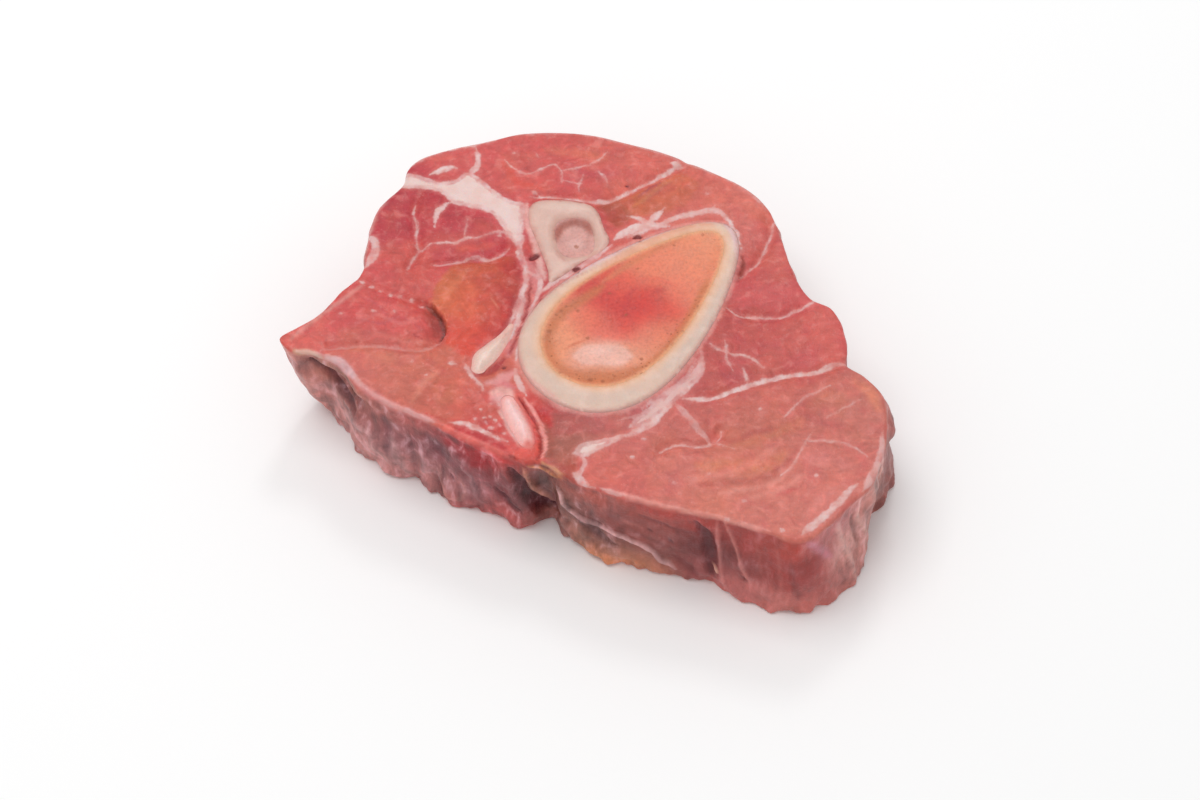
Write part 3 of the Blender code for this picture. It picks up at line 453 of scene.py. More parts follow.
# Colours of the side: run along the rim, depth and colour
SIDE_RUN_REACH = 7.0
SIDE_DEPTH_REACH = 6.0
SIDE = numbers("""
3,6,192,142,136 3,22,196,150,144 12,4,186,136,122 12,20,192,150,146 21,3,160,110,88 21,10,146,88,76 22,22,188,152,150
30,4,166,108,100 32,14,156,112,114 32,26,190,152,150 42,4,172,100,96 42,14,142,98,104 42,26,184,142,142
50,10,112,74,84 52,24,170,124,122 58,4,170,56,60 60,10,152,56,62 60,20,158,112,120 62,30,176,110,112 68,4,186,66,66
70,14,116,44,54 70,28,186,96,92 76,8,124,84,80 77,22,92,38,48 81,12,128,104,92 82,26,160,118,108 88,5,166,92,80
90,14,126,92,88 89,27,166,130,118 98,4,176,102,90 99,13,136,80,78 98,22,120,84,78 98,30,208,156,116 112,3,172,84,76
110,12,150,90,84 112,22,134,84,82 108,30,200,152,122 124,3,160,74,68 124,14,104,46,48 122,27,150,92,92 133,4,160,70,66
133,16,138,76,74 134,29,192,126,122 144,4,172,76,64 145,14,152,72,68 145,29,196,132,124 152,12,162,70,66
153,23,154,74,70 154,30,192,128,122 160,5,190,134,136 163,16,206,174,168 163,27,196,152,146 171,6,190,136,128
172,18,184,142,136 180,5,206,172,162 180,20,168,124,112 192,6,168,104,96 192,22,150,96,90 208,8,178,88,84
208,24,156,88,86 225,8,188,104,98 225,24,160,96,94 242,8,190,128,120 242,24,164,112,108 260,8,206,172,162
260,24,176,132,124 280,8,184,110,102 280,24,158,98,94 300,8,190,122,112 300,24,164,106,102 320,8,180,90,84
320,24,152,86,84 340,8,186,106,98 340,24,158,98,96 360,8,204,162,150 360,24,178,134,124 376,8,220,186,172
376,24,198,156,144 392,8,180,92,90 392,24,152,86,88 410,8,190,128,120 410,24,162,106,104 428,8,178,88,86
428,24,160,100,98 440,8,190,124,118 440,24,184,136,130
""")
# Soft strokes on the side, by run and depth. The dark strokes in the crevices under the left rim lip (92,32,40), at
# the cleft (80,24,36) and on the front (88,30,38) are painted shade; the lilac stroke at runs 150 to 157
# (190,140,158) is a painted sheen, and the pale grey-lilac strokes at runs 18 to 61 are partly painted highlights on
# the side's lumps and partly pale strands.
SIDE_STROKES = strokes("""
92,32,40 .9,1.3,1.8,-1.5 9.5,4 13,6.5 15,10.5 18,13 24,14
120,60,54 .55,2.2,2.5,-.6 15,6 20,9 25,11
150,104,80 .6,1.6,2.2 18,2.6 23,3 27,5.5
206,184,186 .7,.9,1.6,.5 18,23 24,18 30,17
200,180,182 .65,.8,1.4,.5 37,14 38,19 39.5,25 41,29
196,170,172 .55,.7,1.4,.3 30,14 31,18 33,21
206,178,186 .6,1.2,2,.5 26,21 29,25 34,27
206,176,184 .55,1,1.8,.4 45,15 46,20 45,26
112,78,88 .5,1.2,2,-.5 34,8 36,13 35.6,20
112,80,88 .5,1,1.8,-.5 41.5,12 42.4,19 43,27
200,168,176 .5,.9,1.6,.4 57,13 60,17 61,24
124,62,70 .6,1.3,2,-.4 49,14 50.6,17 49.6,29
196,176,180 .45,.6,1.2,.3 44,24 48,22.5 50,24
96,58,70 .6,2,2.6,-.5 47.5,7 50,10 52,13
160,36,46 .85,3.6,3,-.4 54,4 59,6 66,7
206,74,72 .7,1,1.4,.3 52,.8 60,1.2 68,1.8 72,2.4
84,40,48 .75,.9,1.2,-.7 53,20 54.4,22
206,160,152 .6,.5,.9,.4 50,19 50,24 52,27.5 55.5,28.5 58,24 56.4,20
80,24,36 .95,1.6,1.5,-1.8 71.5,5.5 73.2,10 74.2,14 76.9,20 79.5,25.5 84.4,21.5
84,40,52 .75,1,1.2,-.8 66.9,17 69.5,20 72,23 74,24
184,136,142 .55,1.2,1.6,.3 62.9,17 65,21
192,150,130 .8,.6,.9,.7 75.2,3 76.2,9 78.2,16 80.4,21
112,92,82 .6,1.8,2,-.3 78.6,7 80.5,12 83,15
226,168,112 .85,.8,1.2,.4 76.5,2 79.5,3 83,3 85.6,1.6
206,184,186 .88,.75,.8,.8 84.2,7.5 85.2,11 87,15.5 90.5,17 94,17.2 98,16 102,16.6 105,18.6 108,19 110,21 113,25 117,27
84,56,56 .7,1.6,2,-.6 91.5,20.5 96.5,21.5 101,22.5
206,152,108 .65,1.4,2,.4 91.5,30 97,30 101.5,30.5
206,152,112 .6,1,1.6,.3 105.5,28 109,30
188,146,136 .55,1.4,2,.4 83,22 86.5,27 90,30
184,80,72 .55,1.4,2.4 105,2.6 112,3 118,3.2 124,3
86,40,44 .8,.5,.6,-.3 109.6,12 110.2,12
86,40,44 .8,.5,.6,-.3 116.6,11 117.2,11
80,36,42 .8,.6,.6,-.3 114.6,14.6 115.6,15.4
88,30,38 .8,1.6,1.8,-1.2 121.5,5 124,9 125.2,18 126,27
100,50,54 .5,1.6,2.4,-.5 116,22 119,25 122,28
226,196,178 .95,.9,.5,1.2 126.8,22.6 127,23.4
206,150,146 .6,.5,.9,.5 126.6,2 127.2,10 128.2,20 129.6,30
206,150,144 .6,.5,.9,.5 128.6,.8 130.8,8 133.6,15 136.4,24
84,40,46 .6,.8,1.2,-.5 134.4,21 135.2,23
190,140,158 .7,1.2,1.8,.2 150,2 153,7 157,14
212,186,180 .75,.8,1.2,.5 160,3 160.6,8 162,15 164.5,24 164,30
212,188,180 .7,.7,1.2,.4 169,3 168,9 169.6,14 171.5,19
120,70,62 .6,.8,1.2,-.4 165.5,6 166.5,13 168,20
120,72,66 .65,1,1.2,-.7 178,12 181,14 185,17
104,48,50 .6,.7,1.2,-.2 107,7 112,8 118,9.6 122,9
112,64,60 .5,.8,1.4 104,13 109,15.6 115,18.6 120,20
196,138,130 .45,.5,1 101,8 104,11 108,12
150,84,80 .6,.5,.9,-.2 139,6 140,14 141,24
186,118,112 .45,.4,.8 142,5 143.4,14 144.2,23
186,118,112 .4,.4,.8 136.4,4 138,12 138.8,18
112,54,52 .45,.6,1 146,8 146.6,18 147.4,26
210,184,176 .6,1,1.6,.4 174,4 179,8 185,10
104,50,46 .6,1,1.2,-.6 192,8 196,13 199,18
""")
BAND_ON_SIDE = 0.75
BAND_SLOPE = 1.5
BAND_COLOUR = (226, 190, 178)
# Where the face's look passes into the side's below the rim and above the foot, and how far its lines sink away there
RIM_BLEND = (0.3, 1.6)
FOOT_BLEND = 1.2
LINES_SINK = 2.0
# How filmy the side is: run along the rim and share
FILM = numbers("0,1 96,1 106,.35 158,.35 164,.8 225,.75 300,.55 380,.55 446,1")

# Bones: height, fall at the outer edge and at the marrow, relief, colour, rims and strokes.
# A rim is 0 at the marrow or 1 at the outer edge; its colour; its share, start and reach.
BONE_ROLL = 1.0
BONE_LIP = 1.8
# In the large bone's strokes, the thin darker line on the upper-left border (206,150,140) is a painted shadow in the
# gap by its
# membrane, and the two dark dots (112,44,44 and 130,70,54) are painted shade of holes at its border.
LARGE_BONE_LOOK = dict(
    top=THICKNESS + BONE_RISE - TOP_MARGIN, roll=0.5, lip=0.0, relief=LARGE_BONE_RELIEF, ground=(226, 205, 182),
    rims=table("""
0 240,206,168 .85,.4,2.6
0 232,174,126 .8,0,1.1
1 228,180,170 .7,0,1.3
"""), strokes=strokes("""
234,210,212 .8,.6,.9 -12.7,13.8 -5.6,18.6 3.9,24.4 9.6,28.6 15.9,31.8 20.7,34.4 28,37.6 31.8,38 35.1,34.9 37,30
 37.6,24
206,150,140 .6,.2,.5 -11.8,12.6 -5,17.4 4.4,23.2 10,27.2
236,176,140 .75,1.2,1.8 2,20 10,26.2 18,31 26,34.6 31,34.8
232,178,166 .65,.7,1.2 -20.4,-4 -18.8,-10 -15,-16.4 -9,-21.4
222,208,188 .55,1.6,2.2 -14,-12 -7,-18.6 2,-21.4 12,-19.4
214,206,190 .45,1.2,2 18,-12 24,-5 29,3 33,13
112,44,44 .85,.4,.5 -4.9,19.6 -4.4,19.4
130,70,54 .8,.5,.6 11.4,29.9 12.2,30.1
"""))
# In the small bone's strokes, the brown crescent round the upper-left of the marrow (184,116,98) is painted shade of
# its
# recess, and the dark dot (112,44,44) is painted shade of a hole at its border.
SMALL_BONE_LOOK = dict(
    top=THICKNESS + SMALL_BONE_RISE, roll=0.4, lip=0.7, relief=SMALL_BONE_RELIEF, ground=(226, 198, 180),
    rims=table("""
0 218,172,152 .6,0,1.2
1 222,160,146 .6,0,.9
"""), strokes=strokes("""
184,116,98 .75,.8,1.5 -10.4,30.4 -10,33.4 -8.2,36 -5.2,37.1 -2.1,36 -.4,32.1
206,150,134 .55,.5,1.2 -10,27 -9.1,24.9 -7.3,22.7 -4.7,21.9 -1.7,22.7 .3,26.6
112,44,44 .9,.45,.5 -5,20.6 -4.4,20.6
222,176,160 .6,.6,1 -16.4,36 -14.2,28 -12,20
238,220,202 .6,1.2,1.6 -14,41 -8,41.2 -2,40.2
236,214,196 .6,.9,1.4 -10.5,19 -8,21.5 -4,23
"""))
# Marrow: form and roughness of each core, its colours, strokes and rim, and its dark dots with their half widths
LARGE_CORE = dict(shape=LARGE_MARROW, top=THICKNESS + BONE_RISE - TOP_MARGIN, swells=LARGE_BONE_RELIEF,
                  roughness=LARGE_MARROW_RELIEF, sink=0.3, reach=3.0)
SMALL_CORE = dict(shape=SMALL_MARROW, top=THICKNESS + SMALL_BONE_RISE - SMALL_MARROW_SINK, swells=SMALL_BONE_RELIEF,
                  roughness=SMALL_MARROW_RELIEF, sink=0.55, reach=2.5)
PORES_LEAST = 0.16
PORES_UPPER = 0.25
PORES_LOWER = 0.65
PORES_FADE = 16.0
PORES_BELT = (0.4, 1.0, 4.6, 2.5)
SMALL_PORES = 0.10
MARROW_SPOTS = numbers("""
8.2,8,4.5,203,62,60 3,10,4,210,76,70 14.5,11,4.5,212,66,60 18,7,4,220,86,72 8,15,4.5,224,100,82
-2.5,3.6,4.5,230,128,102 9,2.6,4,222,84,72 2,2,4,224,112,94 14,21,5,232,140,108 21,21,6,235,146,114
26,26,6,236,156,118 31,33,5,238,168,128 22,13,4.5,230,128,104 -8,0,5,234,164,126 -10,-6,4.5,232,160,118
3,-7.4,4.5,236,188,166 -4,-7.4,3.5,232,172,146 10.5,-8,4,232,166,134 13,-2,4,228,142,116 20,0,4.5,226,132,102
18,-6.5,4.5,230,154,118 2,-14.6,4,218,144,100 26.5,15,5,234,150,116
""")
MARROW_STROKES = strokes("""
204,128,82 .75,1.8,2.6 -12,-1.4 -11.6,-8 -8.8,-11.8 -4,-13.8 2,-14.4 8,-13.4 12,-11.2
206,136,90 .75,1.3,2 12,-12 17,-8 21.6,-2 25,4.6 27.7,11 29.4,16.4
198,126,82 .75,1.4,2.2 -11.8,-2 -10.6,2 -7.8,6.6 -3,10.4 2.2,14.8
214,142,100 .6,.8,1.6 2,16 10,22.4 19,28.6 27,33.2
240,200,182 .95,3.2,1.5 -4.2,-7.6 2,-7.2 8.6,-7.7
242,208,194 .7,1.2,1.8 -1.5,-6.4 4.5,-6.2
206,116,80 .8,.3,.6 -7.4,-5.6 -5.4,-4 -3,-3 -1.6,-2.2
196,64,66 .6,.7,1.4 6.6,6.4 8.2,8.6 8.8,12 11,14
194,60,60 .65,.7,1.2 3.4,12.2 4.6,12.6
196,60,58 .6,.9,1.5 15.4,13 18,13.8
186,56,58 .65,.6,1.2 7.4,5.2 9,5.6
232,124,104 .6,1,1.8 -1,.8 4,-1.2 10,-1.6
226,112,92 .5,.8,1.6 10,17 16,17 21,15
""")
MARROW_RIM = ((236, 184, 138), 0.90, 1.3)
MARROW_DOTS = numbers("""
-.9,-15.1,.65 2.2,-15.6,.5 12,-8.6,.5 13.2,-10.9,.35 12.1,-13.3,.35 -11.6,.1,.6 -1.6,-2,.5 -4.2,6.7,.45 -8.5,6.7,.45
-7.2,8.1,.35 -9.8,5.4,.35 11.3,20.5,.35 21,28.2,.35 28.5,31.6,.4 5.2,-14,.3 22.7,.1,.35 23.5,-2,.35 -4.5,-13.5,.3
-8.8,-13,.35 26.7,8.1,.3 26.3,10.2,.3 4,12.4,.35 8.2,5.4,.35
""")
SMALL_MARROW_GROUND = (222, 176, 164)
# The first stroke, a brown crescent on the upper-left, is painted shade in the marrow's recess.
SMALL_MARROW_STROKES = strokes("""
172,104,88 .88,1.1,1.5 -10,30 -9.6,33.4 -7.8,35.6 -5,36.6 -2.2,35.6 -.6,32.4
184,118,102 .75,.7,1.2 -9,25.6 -7.2,23.4 -4.6,22.6 -1.8,23.4 0,26.6
232,196,184 .65,2,2.4 -6,29 -4,29.4
""")
SMALL_MARROW_DOT = (-4.7, 28.6, 0.6)
# Tendon and vessel: middle, edge and strokes
TENDON_LOOK = ((232, 212, 194), (228, 172, 158), strokes("""
236,220,204 .6,1,1.4 -29.2,-10 -27.6,-7
222,168,152 .5,.5,.8 -24,-3 -21.6,2
"""))
VESSEL_LOOK = ((240, 194, 184), (234, 160, 150), strokes("""
242,212,206 .8,.9,1.4 -22,-21.6 -20.4,-25 -18.4,-29 -17.6,-31.6
218,88,80 .85,.9,1.6 -18.6,-21 -17.2,-24.6 -15.4,-28.8 -14.4,-32.6 -15,-35.6
224,112,98 .8,1.6,1.8 -17,-34.4 -15.8,-35.6
"""))
STRAND_EDGE = 1.3
STRAND_EDGE_SHARE = 0.8

# How deep red, green and blue light go into the matter, for each part of its scatter depth
SCATTER = (1.0, 0.35, 0.22)
# These factors turn the colours as they look under the photograph's light into the colours of the matter
TOP_TINT = (0.96, 0.84, 0.87)
SIDE_TINT = (1.16, 0.80, 0.77)
BONE_TINT = (0.87, 0.74, 0.77)
MARROW_TINT = (0.92, 0.75, 0.75)
SINEW_TINT = (0.98, 0.86, 0.90)

# Floor, lights and camera, in metres where they aren't part of the slice
FLOOR_HALF = 4.0
FLOOR_COLOUR = (0.97, 0.97, 0.97, 1.0)
FLOOR_ROUGHNESS = 0.8
FLOOR_SPECULAR = 0.1
SKY_STRENGTH = 0.62
LIGHTS = (
    dict(name="softbox_above", place=(-0.30, 0.10, 1.25), size=0.8, power=6.4),
    dict(name="softbox_back", place=(0.12, 0.75, 0.98), size=0.22, power=1.6),
)
LENS = 85.0
SENSOR = 36.0
ELEVATION = math.radians(55.0)
CAMERA_AWAY = 736.0
CAMERA_TARGET = (1.5, -10.0, THICKNESS / 2)


def ease(value):
    """0 below 0, 1 above 1, and smooth between."""
    value = np.clip(value, 0.0, 1.0)
    return value * value * (3.0 - 2.0 * value)


def linear(colour):
    """A colour from 0 to 255 as linear light."""
    share = np.array(colour, float) / 255.0
    return np.where(share <= 0.04045, share / 12.92, ((share + 0.055) / 1.055) ** 2.4)


def unit(vectors):
    return vectors / np.hypot(vectors[:, 0], vectors[:, 1])[:, None]


def run_along(points):
    """The length of a line up to each of its points."""
    return np.concatenate([[0.0], np.cumsum(np.hypot(*np.diff(points[:, :2], axis=0).T))])


def smooth_curve(points, spacing, closed=False):
    """Evenly spaced points on a smooth curve through the given ones; further columns are carried along."""
    points = np.array(points, float)
    count = len(points)
    dense = []
    for i in range(count if closed else count - 1):
        near = range(i - 1, i + 3)
        a, b, c, d = (points[k % count if closed else min(max(k, 0), count - 1)] for k in near)
        for t in np.arange(CURVE_STEPS) / CURVE_STEPS:
            bend = (2 * a - 5 * b + 4 * c - d) * t * t + (3 * b - a - 3 * c + d) * t**3
            dense.append(0.5 * (2 * b + (c - a) * t + bend))
    dense.append(points[0] if closed else points[-1])
    dense = np.array(dense)
    run = run_along(dense)
    at = np.linspace(0.0, run[-1], max(3, round(run[-1] / spacing)) + 1)
    if closed:
        at = at[:-1]
    return np.stack([np.interp(at, run, column) for column in dense.T], axis=1)


def ring(loop):
    """A loop with its first point again at its end."""
    return np.vstack([loop, loop[:1]])


def even_loop(loop, spacing):
    closed = ring(loop)
    run = run_along(closed)
    at = np.linspace(0.0, run[-1], max(8, round(run[-1] / spacing)), endpoint=False)
    return np.stack([np.interp(at, run, column) for column in closed.T[:2]], axis=1)


def outward(loop):
    """Unit normals that point out of an anticlockwise loop."""
    along = unit(np.roll(loop[:, :2], -1, axis=0) - np.roll(loop[:, :2], 1, axis=0))
    return np.stack([along[:, 1], -along[:, 0]], axis=1)


def grown(loop, by):
    return loop + outward(loop) * by


def anticlockwise(loop):
    x, y = loop[:, 0], loop[:, 1]
    area = np.sum(x * np.roll(y, -1) - y * np.roll(x, -1))
    return loop if area > 0 else loop[::-1]


def smooth_loop(points, spacing):
    """An even anticlockwise loop on a smooth curve through the given points."""
    return even_loop(anticlockwise(smooth_curve(points, spacing, closed=True)), spacing)


def egg(shape, spacing, grow=0.0):
    """An egg curve, or a rounded square where the shape is square, as an even anticlockwise loop."""
    t = np.linspace(0.0, 2 * math.pi, EGG_STEPS, endpoint=False)
    along, across = np.cos(t), np.sin(t)
    if "square" in shape:
        size = (np.abs(along) ** shape["square"] + np.abs(across) ** shape["square"]) ** (1 / shape["square"])
        along, across = along / size, across / size
    else:
        across = across * (1 + shape["taper"] * along + shape["belly"] * along**2)
    x = shape["length"] * along
    y = shape["width"] * across
    turn = math.radians(shape["turn"])
    loop = np.stack([
        shape["middle"][0] + math.cos(turn) * x - math.sin(turn) * y,
        shape["middle"][1] + math.sin(turn) * x + math.cos(turn) * y,
    ], axis=1)
    return grown(even_loop(loop, spacing), grow)


def ribbon(points, spacing, grow=0.0):
    """The loop round a line that has a half width at each point, with round ends."""
    middle = smooth_curve(points, spacing)
    along = unit(np.gradient(middle[:, :2], axis=0))
    side = np.stack([-along[:, 1], along[:, 0]], axis=1)
    width = middle[:, 2:3] + grow
    ends = []
    for end, way in ((-1, 1.0), (0, -1.0)):
        turns = np.linspace(0, math.pi, RIBBON_END_STEPS)[1:-1]
        ends.append(np.array([
            middle[end, :2] + width[end] * way * (side[end] * math.cos(a) + along[end] * math.sin(a)) for a in turns
        ]))
    left = middle[:, :2] + side * width
    right = middle[:, :2] - side * width
    return anticlockwise(np.vstack([left, ends[0], right[::-1], ends[1]]))


def distance(points, line):
    """How far each point lies from a line of straight pieces."""
    best = np.full(len(points), np.inf)
    for a, b in zip(line[:-1], line[1:]):
        span = b - a
        t = np.clip((points - a) @ span / (span @ span), 0.0, 1.0)
        near = a + t[:, None] * span
        best = np.minimum(best, np.hypot(points[:, 0] - near[:, 0], points[:, 1] - near[:, 1]))
    return best


def field(points, middle):
    """How far each point lies inside the border of a line with a half width; no less than minus FIELD_REACH."""
    found = np.full(len(points), -FIELD_REACH)
    reach = FIELD_REACH + middle[:, 2].max()
    low, high = middle[:, :2].min(axis=0) - reach, middle[:, :2].max(axis=0) + reach
    close = np.flatnonzero(((points > low) & (points < high)).all(axis=1))
    near = points[close]
    best = np.full(len(near), -FIELD_REACH)
    for a, b in zip(middle[:-1], middle[1:]):
        span = b[:2] - a[:2]
        t = np.clip((near - a[:2]) @ span / max(span @ span, MERGE), 0.0, 1.0)
        away = near - a[:2] - t[:, None] * span
        best = np.maximum(best, a[2] + t * (b[2] - a[2]) - np.hypot(away[:, 0], away[:, 1]))
    found[close] = best
    return found


def inside(points, loop):
    """Which points lie inside a loop."""
    found = np.zeros(len(points), bool)
    x, y = points[:, 0], points[:, 1]
    for (ax, ay), (bx, by) in zip(loop[:, :2], np.roll(loop[:, :2], -1, axis=0)):
        if ay == by:
            continue
        crosses = (ay > y) != (by > y)
        found ^= crosses & (x < ax + (y - ay) * (bx - ax) / (by - ay))
    return found


def between(points, loops):
    """Which points lie inside the first loop and outside the others."""
    found = inside(points, loops[0])
    for loop in loops[1:]:
        found &= ~inside(points, loop)
    return found


def depth_inside(points, loop):
    """How far each point lies inside a loop, negative outside it."""
    away = distance(points, ring(loop))
    return np.where(inside(points, loop), away, -away)


def noise_at(points, lengths, seed):
    """Smooth noise from about -1 to 1, with its own length along each axis."""
    scaled = points / np.array(lengths) + np.array([seed, 0.0, 0.0])
    return np.array([noise.noise(p) for p in scaled.tolist()])


def relief(points, waves):
    """Fine relief of a face: height, length and seed of each wave."""
    flat = np.column_stack([points, np.zeros(len(points))])
    return sum(height * noise_at(flat, (length,) * 3, seed) for height, length, seed in waves)


def tapered(points, half_width, spacing):
    """A smooth line with its half width, which narrows towards both ends."""
    full = [p if len(p) == 3 else (*p, half_width) for p in points]
    middle = smooth_curve(full, spacing)
    run = run_along(middle)
    share = ease(np.minimum(run, run[-1] - run) / min(TAPER, run[-1] / 2))
    middle[:, 2] *= TAPER_LEAST + (1 - TAPER_LEAST) * share
    return middle


def white_middles():
    """Each white line and fleck, some flecks being painted glints, as (how white, smooth line with half widths)."""
    found = [(white, tapered(points, half_width, TOP_SPACING)) for (white, half_width), *points in WHITE_LINES]
    for x, y, half_width in FLECKS:
        ends = [(x + way * FLECK_HALF_LENGTH, y, half_width) for way in (-1, 1)]
        found.append((FLECK_WHITE, np.array(ends)))
    return found


def dark_middles():
    """Each dark place as a smooth line with half widths."""
    found = []
    for (half_width,), *points in DARK_LINES:
        middle = smooth_curve(points, TOP_SPACING)
        found.append(np.column_stack([middle, np.full(len(middle), half_width)]))
    return found


def pocket_depth(points):
    """How deep the pocket is at each point."""
    xs, ys = np.array(POCKET[::-1]).T
    left = np.interp(points[:, 1], ys, xs) - points[:, 0]
    share = np.where(left > 0, np.exp(-((left / POCKET_SLOPE) ** 2)), ease(1.0 + left / POCKET_BANK))
    ends = ease((points[:, 1] - ys[0] + POCKET_END / 2) / POCKET_END)
    ends *= ease((ys[-1] + POCKET_END / 2 - points[:, 1]) / POCKET_END)
    return POCKET_DEPTH * share * ends


def upper_face(points):
    """Height of the upper face: domed muscles, furrows between them, and the pocket."""
    near = np.full(len(points), np.inf)
    for seam in SEAMS:
        near = np.minimum(near, distance(points, smooth_curve(seam, 1.0)))
    dome = DOME_HEIGHT * (1.0 - np.exp(-near / DOME_REACH)) - DOME_HEIGHT
    furrow = FURROW_DEPTH * np.exp(-((near / FURROW_WIDTH) ** 2))
    swell = relief(points, ((SWELL_HEIGHT, SWELL_LENGTH, SWELL_SEED),))
    return THICKNESS + dome - furrow - pocket_depth(points) + swell


def wall_relief(points, depth):
    """How far the side stands out: upright folds, the ragged foot and the named forms."""
    folds = FOLD_DEPTH * noise_at(points, (FOLD_LENGTH, FOLD_LENGTH, FOLD_HEIGHT), FOLD_SEED)
    ragged = FOOT_RAGGED * noise_at(points, (FOOT_LENGTH,) * 3, RAGGED_SEED)
    foot = ease((depth - FOOT_START) / (THICKNESS - FOOT_START))
    stand = (folds + ragged * foot) * ease(depth / QUIET_RIM)
    for form in WALL_FORMS:
        away = np.hypot(points[:, 0] - form["at"][0], points[:, 1] - form["at"][1])
        share = ease(1.0 - abs(depth - form["depth"]) / form["half_height"])
        stand += form["stand"] * ease(1.0 - away / form["reach"]) * share
    return stand


def stroke_share(points, mark):
    """How much of a stroke's colour each point takes."""
    middle = tapered(mark["points"], mark["half_width"], 1.0)
    return mark["share"] * ease(field(points, middle) / mark["soft"] + 0.5)


def paint(colour, tint, share):
    colour += (linear(tint) - colour) * share[:, None]


def paint_strokes(colour, points, marks):
    for mark in marks:
        paint(colour, mark["tint"], stroke_share(points, mark))


def plain(points, tint):
    """One colour at every point."""
    return np.tile(linear(tint), (len(points), 1))


def spotted(points, spots):
    """Colours that pass smoothly from spot to spot: x, y, reach and colour each."""
    total = np.full(len(points), 1e-9)
    colour = np.zeros((len(points), 3)) + 1e-9 * linear(spots[0][3:])
    for x, y, reach, *tint in spots:
        weight = np.exp(-((points[:, 0] - x) ** 2 + (points[:, 1] - y) ** 2) / reach**2)
        colour += weight[:, None] * linear(tint)
        total += weight
    return colour / total[:, None]


def face_look(points):
    """Colour, white field, whiteness and dark field of the cut faces at each place."""
    colour = spotted(points, MUSCLE)
    shifts = [relief(points, ((1.0, WOBBLE_LENGTH, seed),)) for seed in WOBBLE_SEEDS]
    points = points + WOBBLE * np.column_stack(shifts)
    for area in AREAS:
        share = ease(depth_inside(points, smooth_loop(area["loop"], 1.0)) / area["change"] + 0.5)
        colour += (spotted(points, area["spots"]) - colour) * share[:, None]
    for loop, (tint, share, reach, soft) in (
        (egg(LARGE_BONE, BONE_SPACING), BONE_SHEATH),
        (smooth_loop(SMALL_BONE, BONE_SPACING), SMALL_BONE_SHEATH),
        (ribbon(VESSEL, RIBBON_SPACING), VESSEL_SHEATH),
        (ribbon(TENDON, RIBBON_SPACING), TENDON_SHEATH),
    ):
        paint(colour, tint, share * ease((reach - distance(points, ring(loop))) / soft + 0.5))
    paint_strokes(colour, points, TOP_STROKES)
    colour *= np.array(TOP_TINT)
    white_field = depth_inside(points, smooth_loop(FAT_BAND, 1.0)).clip(-FIELD_REACH, FIELD_REACH)
    whiteness = np.full(len(points), BAND_WHITE)
    for white, middle in white_middles():
        found = field(points, middle)
        more = found > white_field
        white_field[more] = found[more]
        whiteness[more] = white
    dark_field = np.full(len(points), -FIELD_REACH)
    for middle in dark_middles():
        dark_field = np.maximum(dark_field, field(points, middle))
    return colour, white_field, whiteness, dark_field


def side_look(run, depth, length):
    """Colour of the side at each run along the rim and depth."""
    total = np.full(len(run), 1e-9)
    colour = np.zeros((len(run), 3))
    for at, deep, *tint in SIDE:
        across = np.abs(run - at)
        across = np.minimum(across, length - across)
        weight = np.exp(-((across / SIDE_RUN_REACH) ** 2) - ((depth - deep) / SIDE_DEPTH_REACH) ** 2)
        colour += weight[:, None] * linear(tint)
        total += weight
    colour /= total[:, None]
    paint_strokes(colour, np.column_stack([run, depth]), SIDE_STROKES)
    return colour * np.array(SIDE_TINT)


def side_stand(place):
    """How far the strokes stand out of the side or lie in it, by run and depth."""
    stand = np.zeros(len(place))
    for mark in SIDE_STROKES:
        if mark["stand"]:
            stand += mark["stand"] * stroke_share(place, mark) / mark["share"]
    return stand


def rows_of_side():
    """(inset, depth) of each row of the side: a round edge, the side and a round foot."""
    turns = np.linspace(0, math.pi / 2, ROUND_STEPS)
    edge = [(EDGE_RADIUS * (1 - math.sin(a)), EDGE_RADIUS * (1 - math.cos(a))) for a in turns]
    foot = [(FOOT_RADIUS * (1 - math.cos(a)), THICKNESS - FOOT_RADIUS * (1 - math.sin(a))) for a in turns]
    count = round((THICKNESS - EDGE_RADIUS - FOOT_RADIUS) / WALL_STEP)
    middle = np.linspace(EDGE_RADIUS, THICKNESS - FOOT_RADIUS, count + 1)[1:-1]
    return edge + [(0.0, depth) for depth in middle] + foot


def side_columns():
    """The side of the slice as columns of points, with the run and depth of each and the length of the rim."""
    rim = anticlockwise(smooth_curve(OUTLINE, WALL_SPACING, closed=True))
    out = outward(rim)
    steps = np.hypot(*(np.roll(rim[:, :2], -1, axis=0) - rim[:, :2]).T)
    run = np.concatenate([[0.0], np.cumsum(steps)[:-1]])
    rows, depths = [], []
    for inset, depth in rows_of_side():
        place = rim[:, :2] + rim[:, 2:] * (depth / THICKNESS) ** LEAN_POWER
        level = np.full((len(rim), 1), THICKNESS - depth)
        deep = np.full(len(rim), depth)
        solid_place = np.hstack([place, level])
        fine = sum(height * noise_at(solid_place, lengths, seed) for height, lengths, seed in SIDE_RELIEF)
        height, lengths, seed = HEM_RELIEF
        hem = height * noise_at(solid_place, lengths, seed) * ease((depth - HEM_START) / (THICKNESS - HEM_START))
        fine += hem + side_stand(np.column_stack([run, deep]))
        stand = wall_relief(solid_place, depth) + fine * ease(depth / FINE_START)
        rows.append(np.hstack([place + out * (stand - inset)[:, None], level]))
        depths.append(deep)
    columns = np.stack(rows, axis=1)
    rise = upper_face(columns[:, 0, :2]) - THICKNESS
    for row, (inset, depth) in enumerate(rows_of_side()):
        columns[:, row, 2] += np.interp(depth, *RIM_RISE) * rise
    runs = np.repeat(run[:, None], columns.shape[1], axis=1)
    return columns, runs.reshape(-1), np.stack(depths, axis=1).reshape(-1), steps.sum()


def upright(loop, height):
    """Straight columns over a loop, from the height of the face down to the underside."""
    return np.stack([np.column_stack([loop, tall]) for tall in (height(loop), np.zeros(len(loop)))], axis=1)


